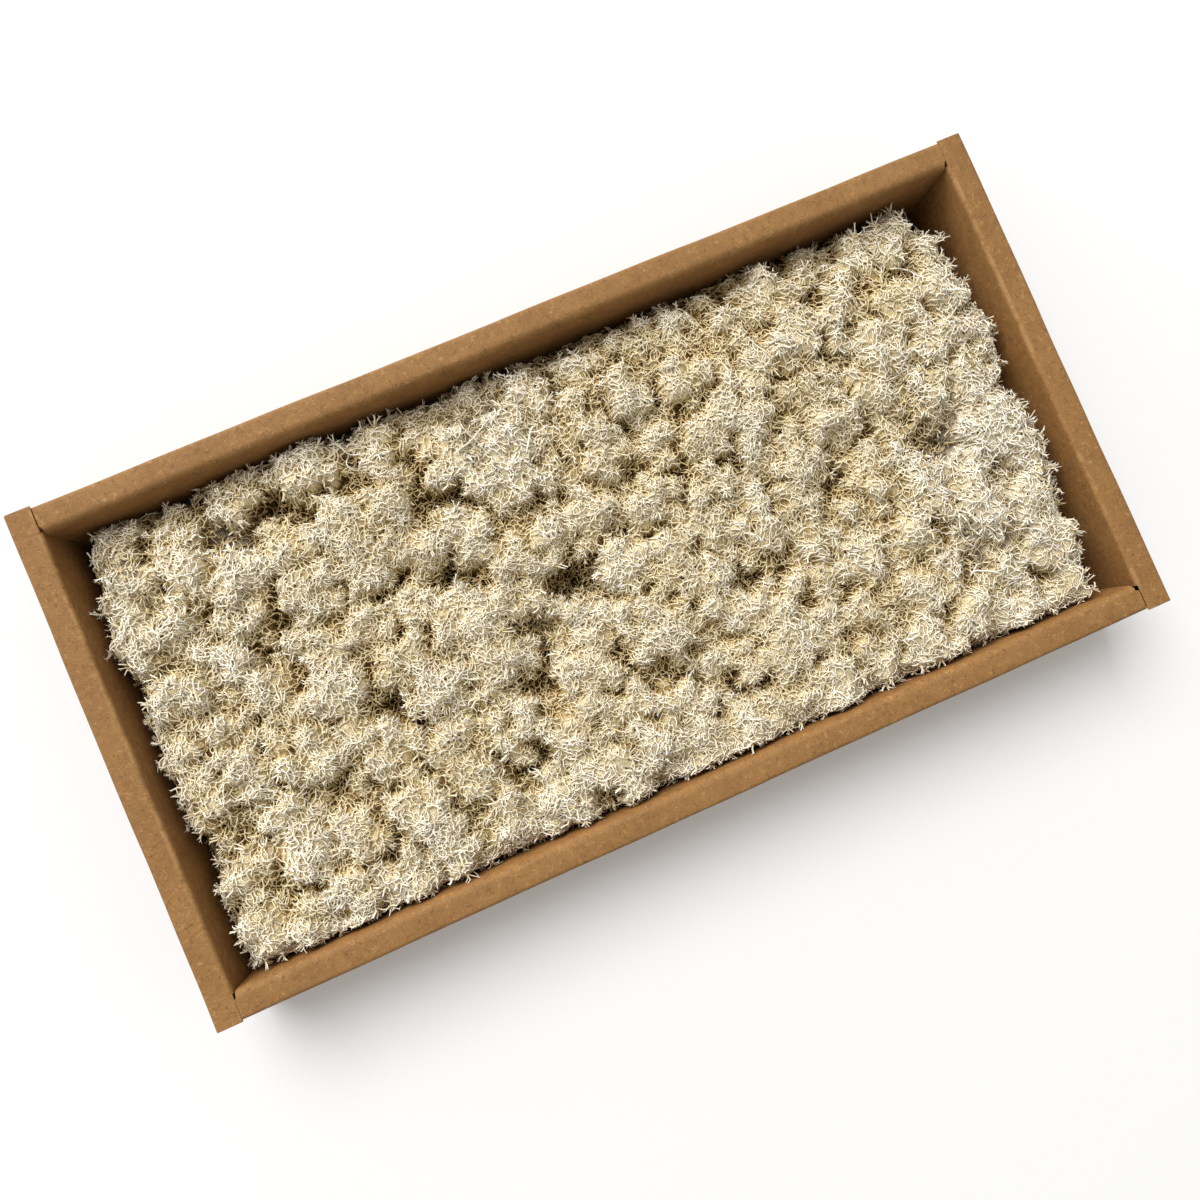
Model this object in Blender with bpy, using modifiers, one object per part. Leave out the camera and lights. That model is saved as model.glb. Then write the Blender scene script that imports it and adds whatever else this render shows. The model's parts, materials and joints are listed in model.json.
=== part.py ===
"""A shallow folded-card tray filled with a bed of reindeer moss, a pale cushion lichen.

The tray is one folded sheet. Each wall rises from the base, turns over a flat rim and comes down
again inside, so it is a hollow channel. The long walls stop short between the two end walls.
The moss stands on the base as clumps of domed heads. Forked tufts stand out of every head.
Units are metres, +Z is up, and the origin is the middle of the tray's underside.
"""

import math
import random

import bmesh
import bpy
from mathutils import Vector
from mathutils.bvhtree import BVHTree

# Tray
TRAY_LENGTH = 0.300
TRAY_WIDTH = 0.154
TRAY_HEIGHT = 0.040
RIM_WIDTH = 0.0082
CARD = 0.0006
FOLD_RADIUS = 0.0005
FOLD_STEPS = 3
LONG_WALL_SET_IN = 0.0004
CORNER_SEAM = 0.0005
RIM_SEAM = 0.0004
RIM_SEAM_SLANT = 0.0008
CLEARANCE = 0.0003

# Moss bed. A level is the height of the tufts' tips.
EDGE_LEVEL = 0.0285
MIDDLE_LEVEL = 0.0365
EDGE_ROLL = 0.018
SEED = 41

# Cores, as shares of a head's cell and depths below the level
CORE_RINGS = ((0.97, 0.0150), (0.64, 0.0072))
CORE_CROWN = 0.0050
HEAD_OVERLAP = 0.0010
SHORT_EDGE = 0.0028

# Tufts
TUFT_AREA = 0.000101
TUFT_RING_AT = 0.58
TUFT_CROWN_AT = 0.08
TUFT_AT_SPREAD = 0.06
TUFT_TURN_SPREAD = 0.2
TUFT_LEAN = 0.6
TUFT_CROWN_LEAN = 0.15
TUFT_MIDDLE_RISE = 0.6
TUFT_ROOT = 0.0015
TUFT_STEM = 0.0022
TUFT_THICKNESS = 0.0024
TUFT_PRONG = 0.0072
TUFT_SPREAD = 0.0062
TUFT_REACH = 0.97
LENGTH_SPREAD = 0.25

# Outline of the bed, in millimetres. It stands off the end walls near their corners.
BED_OUTLINE = (
    (-138.5, -67.6),
    (131.5, -67.6),
    (138.5, -40),
    (141, 5),
    (140.5, 20),
    (133.5, 67.6),
    (-134.5, 67.6),
    (-140, 42),
    (-141.2, 0),
)

# Heads of the bed, clump by clump, in millimetres: X, Y, and the rise over the bed's level there
CLUMPS = (
    ((-129, 60, -3), (-111, 58, -2), (-92, 61, 1)),
    ((-70, 60, 1), (-50, 57, 0), (-34, 56, -1)),
    ((-18, 60, -4), (-3, 56, 0.5), (15, 57, 0.5)),
    ((32, 57, -1), (46, 55, -1), (58, 61, -3)),
    ((64, 50, 0), (77, 57, 0), (92, 58, -2)),
    ((107, 54, 0.5), (122, 58, -3), (131, 49, -3)),
    ((-131, 48, 1), (-133, 31, 0), (-119, 31, 0)),
    ((-112, 45, 1), (-98, 38, 0.5), (-104, 26, -1)),
    ((-81, 40, 0), (-66, 38, 0), (-51, 41, 0.5)),
    ((-29, 46, 1), (-11, 46, 1), (-20, 35, 0.5)),
    ((8, 43, 0), (25, 46, 0), (-2, 33, -1.5)),
    ((45, 42, 1), (62, 36, 0.5), (79, 39, 1)),
    ((96, 44, 1), (113, 37, 2), (129, 36, 0)),
    ((-111, 17, 0.5), (-128, 12, 0), (-105, 5, -0.5)),
    ((-82, 26, 1), (-66, 27, 1), (-50, 26, 0)),
    ((-33, 24, 0.5), (-25, 12, 0), (-12, 13, 1.5)),
    ((12, 27, 1), (28, 25, 0), (2, 14, 1)),
    ((43, 24, 2), (57, 22, 1), (51, 9, -1)),
    ((72, 24, 0), (86, 26, -1.5), (79, 14, 1)),
    ((101, 26, 1.5), (119, 23, 0.5), (134, 20, 1)),
    ((-85, 12, 0.5), (-70, 9, 0), (-84, -3, 0)),
    ((-55, 8, 0), (-45, -1, 2), (-63, -4, 1)),
    ((20, 11, 0), (36, 9, 0.5), (34, -3, 0)),
    ((65, 7, 0), (62, -5, -0.5), (48, -4, 0)),
    ((95, 14, 2.5), (110, 9, 0.5), (97, -1, 0)),
    ((125, 7, 1.5), (124, -7, 1), (134, -17, 0)),
    ((-133, -3, -1), (-117, -3, -1), (-133, -17, -0.5)),
    ((-99, -7, 0), (-100, -19, 0.5), (-117, -15, -0.5)),
    ((-57, -15, 0.5), (-41, -12, 1), (-27, 0, -1)),
    ((6, -3, 1), (19, -7, 1), (26, -16, 1)),
    ((-14, -14, -1), (-1, -16, 0), (11, -21, 1)),
    ((84, -5, 0.5), (95, -16, 1), (77, -15, -1)),
    ((-84, -17, 0), (-77, -27, -0.5), (-94, -28, -2)),
    ((47, -13, 0), (60, -17, -1), (55, -28, 0)),
    ((113, -19, -0.5), (108, -31, 2), (127, -33, 1)),
    ((-128, -27, -3), (-112, -29, -0.5), (-130, -42, 0)),
    ((-62, -30, 0), (-47, -24, -0.5), (-41, -35, 1), (-58, -43, 0)),
    ((-17, -27, 1), (-27, -36, -0.5), (4, -29, 0.5)),
    ((24, -28, 1), (39, -32, 0), (24, -42, -1)),
    ((72, -30, 1), (88, -29, -1), (67, -45, 0)),
    ((-112, -42, 0.5), (-96, -43, 1.5), (-77, -45, 2)),
    ((-30, -44, 1), (-10, -41, 0.5), (5, -47, 0)),
    ((40, -44, 0), (54, -42, 0)),
    ((81, -46, 0.5), (96, -42, 0)),
    ((109, -49, -0.5), (126, -46, 0), (127, -61, -1)),
    ((-132, -58, 0), (-116, -60, -0.5), (-102, -57, 0)),
    ((-88, -60, 0), (-72, -58, 1.5), (-55, -58, 1)),
    ((-38, -57, 0), (-22, -57, 1.5), (-7, -56, 1)),
    ((7, -60, -0.5), (22, -60, 0.5), (36, -58, 0)),
    ((49, -61, 0.5), (63, -58, -1), (80, -61, 0.5)),
    ((96, -58, 0.5), (112, -61, 0)),
)

COLOURS = {
    "kraft card": (0.47, 0.29, 0.14),
    "pale lichen": (0.72, 0.68, 0.55),
}


def clear_scene():
    for old in list(bpy.data.objects):
        bpy.data.objects.remove(old, do_unlink=True)


def make_collection(name):
    made = bpy.data.collections.new(name)
    bpy.context.scene.collection.children.link(made)
    return made


def make_material(name, roughness):
    made = bpy.data.materials.new(name)
    made.use_nodes = True
    shader = made.node_tree.nodes["Principled BSDF"]
    shader.inputs["Base Color"].default_value = (*COLOURS[name], 1.0)
    shader.inputs["Roughness"].default_value = roughness
    shader.inputs["Metallic"].default_value = 0.0
    return made


def new_object(name, bm, collection):
    mesh = bpy.data.meshes.new(name)
    bm.to_mesh(mesh)
    bm.free()
    made = bpy.data.objects.new(name, mesh)
    collection.objects.link(made)
    return made


def fold(centre_out, centre_up, start, steps):
    """Points of a quarter fold, as (out, up), from the start angle and without its first point."""
    points = []
    for step in range(1, steps + 1):
        angle = math.radians(start + 90 * step / steps)
        out = centre_out + FOLD_RADIUS * math.cos(angle)
        up = centre_up + FOLD_RADIUS * math.sin(angle)
        points.append((out, up))
    return points


def wall_profile(outer_face):
    """The middle line of a wall's card from the base fold to the inner panel's free edge."""
    outer = outer_face - CARD / 2
    inner = outer_face - RIM_WIDTH + CARD / 2
    low = CARD / 2 + FOLD_RADIUS
    high = TRAY_HEIGHT - CARD / 2 - FOLD_RADIUS
    rise = fold(outer - FOLD_RADIUS, low, -90, FOLD_STEPS)
    rise.append((outer, high))
    over = fold(outer - FOLD_RADIUS, high, 0, FOLD_STEPS)
    rim_end = (inner + FOLD_RADIUS, high + FOLD_RADIUS)
    down = fold(inner + FOLD_RADIUS, high, 90, FOLD_STEPS)
    down.append((inner, CARD + CLEARANCE))
    return rise, over, rim_end, down


class Wall:
    """One wall of the tray, drawn out of an edge of the base row by row."""

    def __init__(self, bm, axis, sign):
        self.bm = bm
        self.axis = axis
        self.along = 1 - axis
        self.sign = sign
        reach = max(sign * v.co[axis] for v in bm.verts)
        self.edges = []
        for edge in bm.edges:
            if all(abs(sign * v.co[axis] - reach) < CARD / 10 for v in edge.verts):
                self.edges.append(edge)

    def keep_within(self, half):
        kept = []
        for edge in self.edges:
            if all(abs(v.co[self.along]) < half + CARD / 10 for v in edge.verts):
                kept.append(edge)
        self.edges = kept

    def draw(self, out, up, half, slant=0.0):
        """Adds a row at (out, up). Its ends lie at half, and further out by slant."""
        made = bmesh.ops.extrude_edge_only(self.bm, edges=self.edges)["geom"]
        self.edges = [g for g in made if isinstance(g, bmesh.types.BMEdge)]
        corners = [g for g in made if isinstance(g, bmesh.types.BMVert)]
        reach = max(abs(v.co[self.along]) for v in corners)
        for corner in corners:
            corner.co[self.axis] = self.sign * out
            corner.co.z = up
            if abs(corner.co[self.along]) > reach - CARD / 10:
                corner.co[self.axis] = self.sign * (out + slant)
                corner.co[self.along] = math.copysign(half, corner.co[self.along])


def make_base(bm, columns, rows):
    """The base panel as a grid, with its lines at the given half lengths and half widths."""
    bmesh.ops.create_grid(bm, x_segments=2 * len(columns) - 1, y_segments=2 * len(rows) - 1, size=1)
    across = [-c for c in columns] + list(reversed(columns))
    deep = [-r for r in rows] + list(reversed(rows))
    for corner in bm.verts:
        column = round((corner.co.x + 1) / 2 * (len(across) - 1))
        row = round((corner.co.y + 1) / 2 * (len(deep) - 1))
        corner.co = Vector((across[column], deep[row], CARD / 2))


def make_tray(collection, material):
    half_length = TRAY_LENGTH / 2
    half_width = TRAY_WIDTH / 2
    long_face = half_width - LONG_WALL_SET_IN
    base_length = half_length - CARD / 2 - FOLD_RADIUS
    base_width = long_face - CARD / 2 - FOLD_RADIUS
    panel_end = half_length - CARD - CORNER_SEAM
    flap_edge = half_length - RIM_WIDTH + CARD / 2 + FOLD_RADIUS
    rim_end = flap_edge - RIM_SEAM
    inner_face_x = half_length - RIM_WIDTH
    inner_face_y = long_face - RIM_WIDTH
    end_panel = inner_face_y + CARD

    bm = bmesh.new()
    make_base(bm, (base_length, panel_end, rim_end + RIM_SEAM_SLANT), (base_width, end_panel))

    end_walls = [Wall(bm, 0, sign) for sign in (-1, 1)]
    long_walls = [Wall(bm, 1, sign) for sign in (-1, 1)]
    for wall in end_walls:
        rise, over, rim, down = wall_profile(half_length)
        for out, up in rise + over:
            wall.draw(out, up, half_width)
        wall.draw(*rim, half_width, RIM_SEAM_SLANT)
        wall.keep_within(end_panel)
        for out, up in down:
            wall.draw(out, up, end_panel - CARD / 3)

    for wall in long_walls:
        wall.keep_within(panel_end)
        rise, over, rim, down = wall_profile(long_face)
        for out, up in rise:
            wall.draw(out, up, panel_end)
        wall.keep_within(rim_end + RIM_SEAM_SLANT)
        for out, up in over:
            wall.draw(out, up, rim_end + RIM_SEAM_SLANT)
        wall.draw(*rim, rim_end)
        for out, up in down:
            wall.draw(out, up, inner_face_x - CLEARANCE)

    bmesh.ops.recalc_face_normals(bm, faces=bm.faces)
    tray = new_object("card_tray", bm, collection)
    tray.data.materials.append(material)
    card = tray.modifiers.new("card", "SOLIDIFY")
    card.thickness = CARD
    card.offset = 0.0
    card.use_even_offset = True
    return tray


class Head:
    """One domed head of moss: its place, its level and the clump that it grows in."""

    def __init__(self, x, y, rise, clump):
        self.centre = Vector((x, y))
        self.level = bed_level(x, y) + rise
        self.clump = clump
        self.surface = None

    def cell(self, heads, overlap):
        """The head's share of the bed as a convex outline, halfway to each neighbour."""
        outline = [Vector((x / 1000, y / 1000)) for x, y in BED_OUTLINE]
        for other in heads:
            if other is self:
                continue
            way = (other.centre - self.centre).normalized()
            share = overlap if other.clump == self.clump else -CLEARANCE / 2
            reach = (other.centre - self.centre).length / 2 + share
            outline = clip(outline, self.centre + way * reach, way)
        return without_short_edges(outline)


def clip(outline, point, way):
    """The part of a convex outline that lies behind the line through point, across way."""
    kept = []
    for here, there in zip(outline, outline[1:] + outline[:1]):
        depth_here = (here - point).dot(way)
        depth_there = (there - point).dot(way)
        if depth_here <= 0:
            kept.append(here)
        if depth_here * depth_there < 0:
            kept.append(here.lerp(there, depth_here / (depth_here - depth_there)))
    return kept


def without_short_edges(outline):
    """The outline with corners that lie close behind the one before left out."""
    kept = []
    for corner in outline:
        if not kept or (corner - kept[-1]).length > SHORT_EDGE:
            kept.append(corner)
    if (kept[0] - kept[-1]).length <= SHORT_EDGE:
        kept.pop()
    return kept


def room(centre, outline, way):
    """How far a ray from the centre along way runs before it leaves a convex outline."""
    nearest = math.inf
    for here, there in zip(outline, outline[1:] + outline[:1]):
        edge = there - here
        across = Vector((edge.y, -edge.x))
        facing = way.dot(across)
        if facing > 1e-9:
            nearest = min(nearest, (here - centre).dot(across) / facing)
    return nearest


def area(outline):
    doubled = 0.0
    for here, there in zip(outline, outline[1:] + outline[:1]):
        doubled += here.x * there.y - there.x * here.y
    return abs(doubled) / 2


def bed_level(x, y):
    """Height of the crowns over a place on the base, low at the walls."""
    half_x = TRAY_LENGTH / 2 - RIM_WIDTH
    half_y = TRAY_WIDTH / 2 - RIM_WIDTH
    inward = min(half_x - abs(x), half_y - abs(y))
    rise = min(1.0, max(0.0, inward / EDGE_ROLL))
    return EDGE_LEVEL + (MIDDLE_LEVEL - EDGE_LEVEL) * (1 - (1 - rise) ** 2)


def make_core(head, heads, scratch):
    """A head's core: its cell drawn up from the base, narrowed twice and closed in a low point."""
    outline = head.cell(heads, HEAD_OVERLAP)
    bm = bmesh.new()
    foot = CARD + CLEARANCE
    face = bm.faces.new([bm.verts.new((c.x, c.y, foot)) for c in outline])
    bottom = face.copy()
    bottom.normal_flip()
    for share, depth in CORE_RINGS:
        face = bmesh.ops.extrude_discrete_faces(bm, faces=[face])["faces"][0]
        for loop, corner in zip(face.loops, outline):
            place = head.centre.lerp(corner, share)
            loop.vert.co = Vector((place.x, place.y, head.level - depth))
    crown = bmesh.ops.poke(bm, faces=[face])["verts"][0]
    crown.co = Vector((head.centre.x, head.centre.y, head.level - CORE_CROWN))
    bmesh.ops.remove_doubles(bm, verts=bm.verts, dist=1e-6)
    bmesh.ops.recalc_face_normals(bm, faces=bm.faces)
    head.surface = BVHTree.FromBMesh(bm)
    return new_object("core", bm, scratch)


def make_tuft(root, up, draw, inside, scratch):
    """A three-sided stem with three spread prongs. inside() pulls a point into the head's cell."""
    side = up.orthogonal().normalized()
    cross = up.cross(side)
    turn = draw.uniform(0, 2 * math.pi)

    def ring(at, radius, twist):
        points = []
        for step in range(3):
            angle = turn + twist + 2 * math.pi * step / 3
            points.append(at + radius * (math.cos(angle) * side + math.sin(angle) * cross))
        return points

    bm = bmesh.new()
    neck = root + up * TUFT_STEM
    low = [bm.verts.new(p) for p in ring(root - up * TUFT_ROOT, TUFT_THICKNESS, 0)]
    high = [bm.verts.new(inside(p)) for p in ring(neck, TUFT_THICKNESS, 0)]
    middle = bm.verts.new(neck + up * TUFT_THICKNESS * TUFT_MIDDLE_RISE)
    bm.faces.new(reversed(low))
    for step, spread in enumerate(ring(Vector(), TUFT_SPREAD, math.pi / 3)):
        after = (step + 1) % 3
        length = draw.uniform(1 - LENGTH_SPREAD, 1 + LENGTH_SPREAD)
        rise = math.sqrt(TUFT_PRONG**2 - TUFT_SPREAD**2)
        tip = bm.verts.new(inside(neck + (spread + up * rise) * length))
        bm.faces.new((low[step], low[after], high[after], high[step]))
        bm.faces.new((high[step], high[after], tip))
        bm.faces.new((high[after], middle, tip))
        bm.faces.new((middle, high[step], tip))
    return new_object("tuft", bm, scratch)


def make_tufts(head, heads, draw, scratch):
    """Tufts over a head's core: one on its crown and the rest round it, leaning outwards."""
    outline = head.cell(heads, 0.0)
    count = max(2, round(area(outline) / TUFT_AREA))

    def inside(point):
        way = point.xy - head.centre
        away = way.length
        reach = room(head.centre, outline, way.normalized()) * TUFT_REACH
        flat = head.centre + way * min(1.0, reach / away)
        return Vector((flat.x, flat.y, min(point.z, TRAY_HEIGHT - CLEARANCE)))

    made = []
    start = draw.uniform(0, 2 * math.pi)
    for number in range(count):
        on_crown = number == count - 1
        angle = start + 2 * math.pi * number / (count - 1)
        angle += draw.uniform(-TUFT_TURN_SPREAD, TUFT_TURN_SPREAD)
        way = Vector((math.cos(angle), math.sin(angle)))
        off = draw.uniform(-TUFT_AT_SPREAD, TUFT_AT_SPREAD)
        share = TUFT_CROWN_AT if on_crown else TUFT_RING_AT + off
        place = head.centre + way * room(head.centre, outline, way) * share
        above = Vector((place.x, place.y, TRAY_HEIGHT))
        root = head.surface.ray_cast(above, Vector((0, 0, -1)))[0]
        lean = TUFT_CROWN_LEAN if on_crown else TUFT_LEAN
        up = Vector((way.x * lean, way.y * lean, 1)).normalized()
        made.append(make_tuft(root, up, draw, inside, scratch))
    return made


def make_clump(name, members, heads, draw, collection, material):
    """Fuses the cores and tufts of a clump's heads into one body."""
    scratch = make_collection("scratch")
    pieces = []
    for head in members:
        pieces.append(make_core(head, heads, scratch))
        pieces.extend(make_tufts(head, heads, draw, scratch))
    clump = pieces[0]
    clump.name = name
    collection.objects.link(clump)
    scratch.objects.unlink(clump)
    fuse = clump.modifiers.new("fuse", "BOOLEAN")
    fuse.operation = "UNION"
    fuse.operand_type = "COLLECTION"
    fuse.collection = scratch
    fuse.solver = "MANIFOLD"
    fused = bpy.data.meshes.new_from_object(clump.evaluated_get(bpy.context.evaluated_depsgraph_get()))
    clump.modifiers.clear()
    clump.data = fused
    fused.name = name
    fused.materials.clear()
    fused.materials.append(material)
    for piece in pieces[1:]:
        bpy.data.objects.remove(piece, do_unlink=True)
    bpy.data.collections.remove(scratch)
    return clump


def make_bed(collection, material):
    draw = random.Random(SEED)
    heads = []
    for number, members in enumerate(CLUMPS, start=1):
        for x, y, rise in members:
            heads.append(Head(x / 1000, y / 1000, rise / 1000, number))
    for number in range(1, len(CLUMPS) + 1):
        members = [head for head in heads if head.clump == number]
        make_clump(f"moss_clump_{number:02d}", members, heads, draw, collection, material)


def main():
    clear_scene()
    parts = make_collection("reindeer moss tray")
    make_tray(parts, make_material("kraft card", 0.75))
    make_bed(parts, make_material("pale lichen", 0.95))


main()
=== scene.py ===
# Reindeer moss in a folded card tray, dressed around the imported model.
import json
import math

import bmesh
import bpy
import numpy as np
from mathutils import Matrix, Vector
from mathutils.kdtree import KDTree

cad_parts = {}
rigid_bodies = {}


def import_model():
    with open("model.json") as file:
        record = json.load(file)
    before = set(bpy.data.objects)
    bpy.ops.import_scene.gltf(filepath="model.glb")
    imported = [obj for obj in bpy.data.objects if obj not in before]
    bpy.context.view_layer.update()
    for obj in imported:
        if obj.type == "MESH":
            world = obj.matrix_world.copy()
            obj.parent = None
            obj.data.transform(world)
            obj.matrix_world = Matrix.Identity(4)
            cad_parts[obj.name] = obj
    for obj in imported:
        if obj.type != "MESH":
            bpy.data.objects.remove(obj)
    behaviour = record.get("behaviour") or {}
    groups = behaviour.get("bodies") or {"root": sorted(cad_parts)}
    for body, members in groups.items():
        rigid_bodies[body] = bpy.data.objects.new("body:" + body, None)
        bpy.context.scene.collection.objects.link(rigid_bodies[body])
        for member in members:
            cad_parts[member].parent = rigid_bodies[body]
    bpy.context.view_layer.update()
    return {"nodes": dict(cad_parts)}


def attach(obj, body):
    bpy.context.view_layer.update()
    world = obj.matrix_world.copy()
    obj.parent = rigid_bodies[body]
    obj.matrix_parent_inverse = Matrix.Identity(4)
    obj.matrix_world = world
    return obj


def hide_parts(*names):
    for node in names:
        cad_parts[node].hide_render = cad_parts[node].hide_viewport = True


for old in list(bpy.data.objects):
    bpy.data.objects.remove(old, do_unlink=True)
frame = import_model()
print("frame loaded:", len(frame["nodes"]), "nodes")


# Sockets that take part in sums: an expression on values adds its Math nodes
class Value:
    def __init__(self, shelf, socket):
        self.shelf = shelf
        self.socket = socket

    def sum(self, operation, first, second):
        return self.shelf.add("ShaderNodeMath", {"operation": operation}, {0: first, 1: second})[0]

    def __add__(self, other):
        return self.sum("ADD", self, other)

    def __radd__(self, other):
        return self.sum("ADD", other, self)

    def __sub__(self, other):
        return self.sum("SUBTRACT", self, other)

    def __rsub__(self, other):
        return self.sum("SUBTRACT", other, self)

    def __mul__(self, other):
        return self.sum("MULTIPLY", self, other)

    def __rmul__(self, other):
        return self.sum("MULTIPLY", other, self)

    def __truediv__(self, other):
        return self.sum("DIVIDE", self, other)

    def __rtruediv__(self, other):
        return self.sum("DIVIDE", other, self)

    def __pow__(self, other):
        return self.sum("POWER", self, other)


class Added:
    def __init__(self, shelf, node):
        self.shelf = shelf
        self.node = node

    def __getitem__(self, key):
        return Value(self.shelf, self.node.outputs[key])


# One material and its nodes
class Finish:
    def __init__(self, name, constants):
        self.material = bpy.data.materials.new(name)
        self.material.use_nodes = True
        self.tree = self.material.node_tree
        self.shader = self.tree.nodes["Principled BSDF"]
        for socket, value in constants.items():
            self.shader.inputs[socket].default_value = value

    def add(self, kind, settings=None, sockets=None):
        node = self.tree.nodes.new(kind)
        for name, value in (settings or {}).items():
            if name == "stops":
                ramp = node.color_ramp.elements
                while len(ramp) < len(value):
                    ramp.new(0.5)
                for element, (at, colour) in zip(ramp, value):
                    element.position = at
                    element.color = (*colour, 1.0)
            else:
                setattr(node, name, value)
        for key, value in (sockets or {}).items():
            self.plug(node.inputs[key], value)
        return Added(self, node)

    def plug(self, target, value):
        if isinstance(value, Value):
            self.tree.links.new(value.socket, target)
        elif hasattr(target.default_value, "__len__") and not hasattr(value, "__len__"):
            target.default_value = [value] * len(target.default_value)
        elif hasattr(value, "__len__") and len(target.default_value) == 4 and len(value) == 3:
            target.default_value = (*value, 1.0)
        else:
            target.default_value = value

    def feed(self, socket, value):
        self.plug(self.shader.inputs[socket], value)

    def mix(self, factor, first, second, blend="MIX"):
        settings = {"data_type": "RGBA", "blend_type": blend}
        return self.add("ShaderNodeMix", settings, {0: factor, 6: first, 7: second})[2]

    def ramp(self, factor, stops):
        # stops are places on the ramp, each with its colour on a screen
        stops = [(at, fromScreen(*tone)) for at, tone in stops]
        return self.add("ShaderNodeValToRGB", {"stops": stops}, {"Fac": factor})["Color"]

    def map(self, name):
        return self.add("ShaderNodeUVMap", {"uv_map": name})["UV"]

    def split(self, vector):
        return self.add("ShaderNodeSeparateXYZ", {}, {"Vector": vector})

    def size(self, value):
        return self.add("ShaderNodeMath", {"operation": "ABSOLUTE"}, {0: value})[0]

    def pushed(self, place, colour, reach):
        # a place moved about by a noise's colour
        sockets = {0: colour, 1: (reach, reach, reach), 2: place}
        return self.add("ShaderNodeVectorMath", {"operation": "MULTIPLY_ADD"}, sockets)[0]

    def noise(self, place, scale, detail=2.0, rough=0.5, distort=0.0):
        names = ("Vector", "Scale", "Detail", "Roughness", "Distortion")
        return self.add("ShaderNodeTexNoise", {}, dict(zip(names, (place, scale, detail, rough, distort))))

    def cells(self, place, scale, feature="DISTANCE_TO_EDGE", dimensions="3D"):
        settings = {"feature": feature, "voronoi_dimensions": dimensions}
        return self.add("ShaderNodeTexVoronoi", settings, {"Vector": place, "Scale": scale})

    def between(self, value, low, high, start=0.0, end=1.0):
        sockets = {"Value": value, "From Min": low, "From Max": high, "To Min": start, "To Max": end}
        return self.add("ShaderNodeMapRange", {"interpolation_type": "SMOOTHSTEP"}, sockets)[0]

    def bump(self, height, strength, distance):
        sockets = {"Height": height, "Strength": strength, "Distance": distance}
        return self.add("ShaderNodeBump", {}, sockets)["Normal"]


def fromScreen(red, green, blue):
    # a colour as a screen shows it, 0 to 255, as the shader's own numbers
    made = []
    for part in (red, green, blue):
        part /= 255
        made.append(part / 12.92 if part <= 0.04045 else ((part + 0.055) / 1.055) ** 2.4)
    return tuple(made)


# The tray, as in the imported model, in millimetres
tray = {"length": 300.0, "width": 154.0, "height": 40.0, "rim": 8.2}

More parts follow.
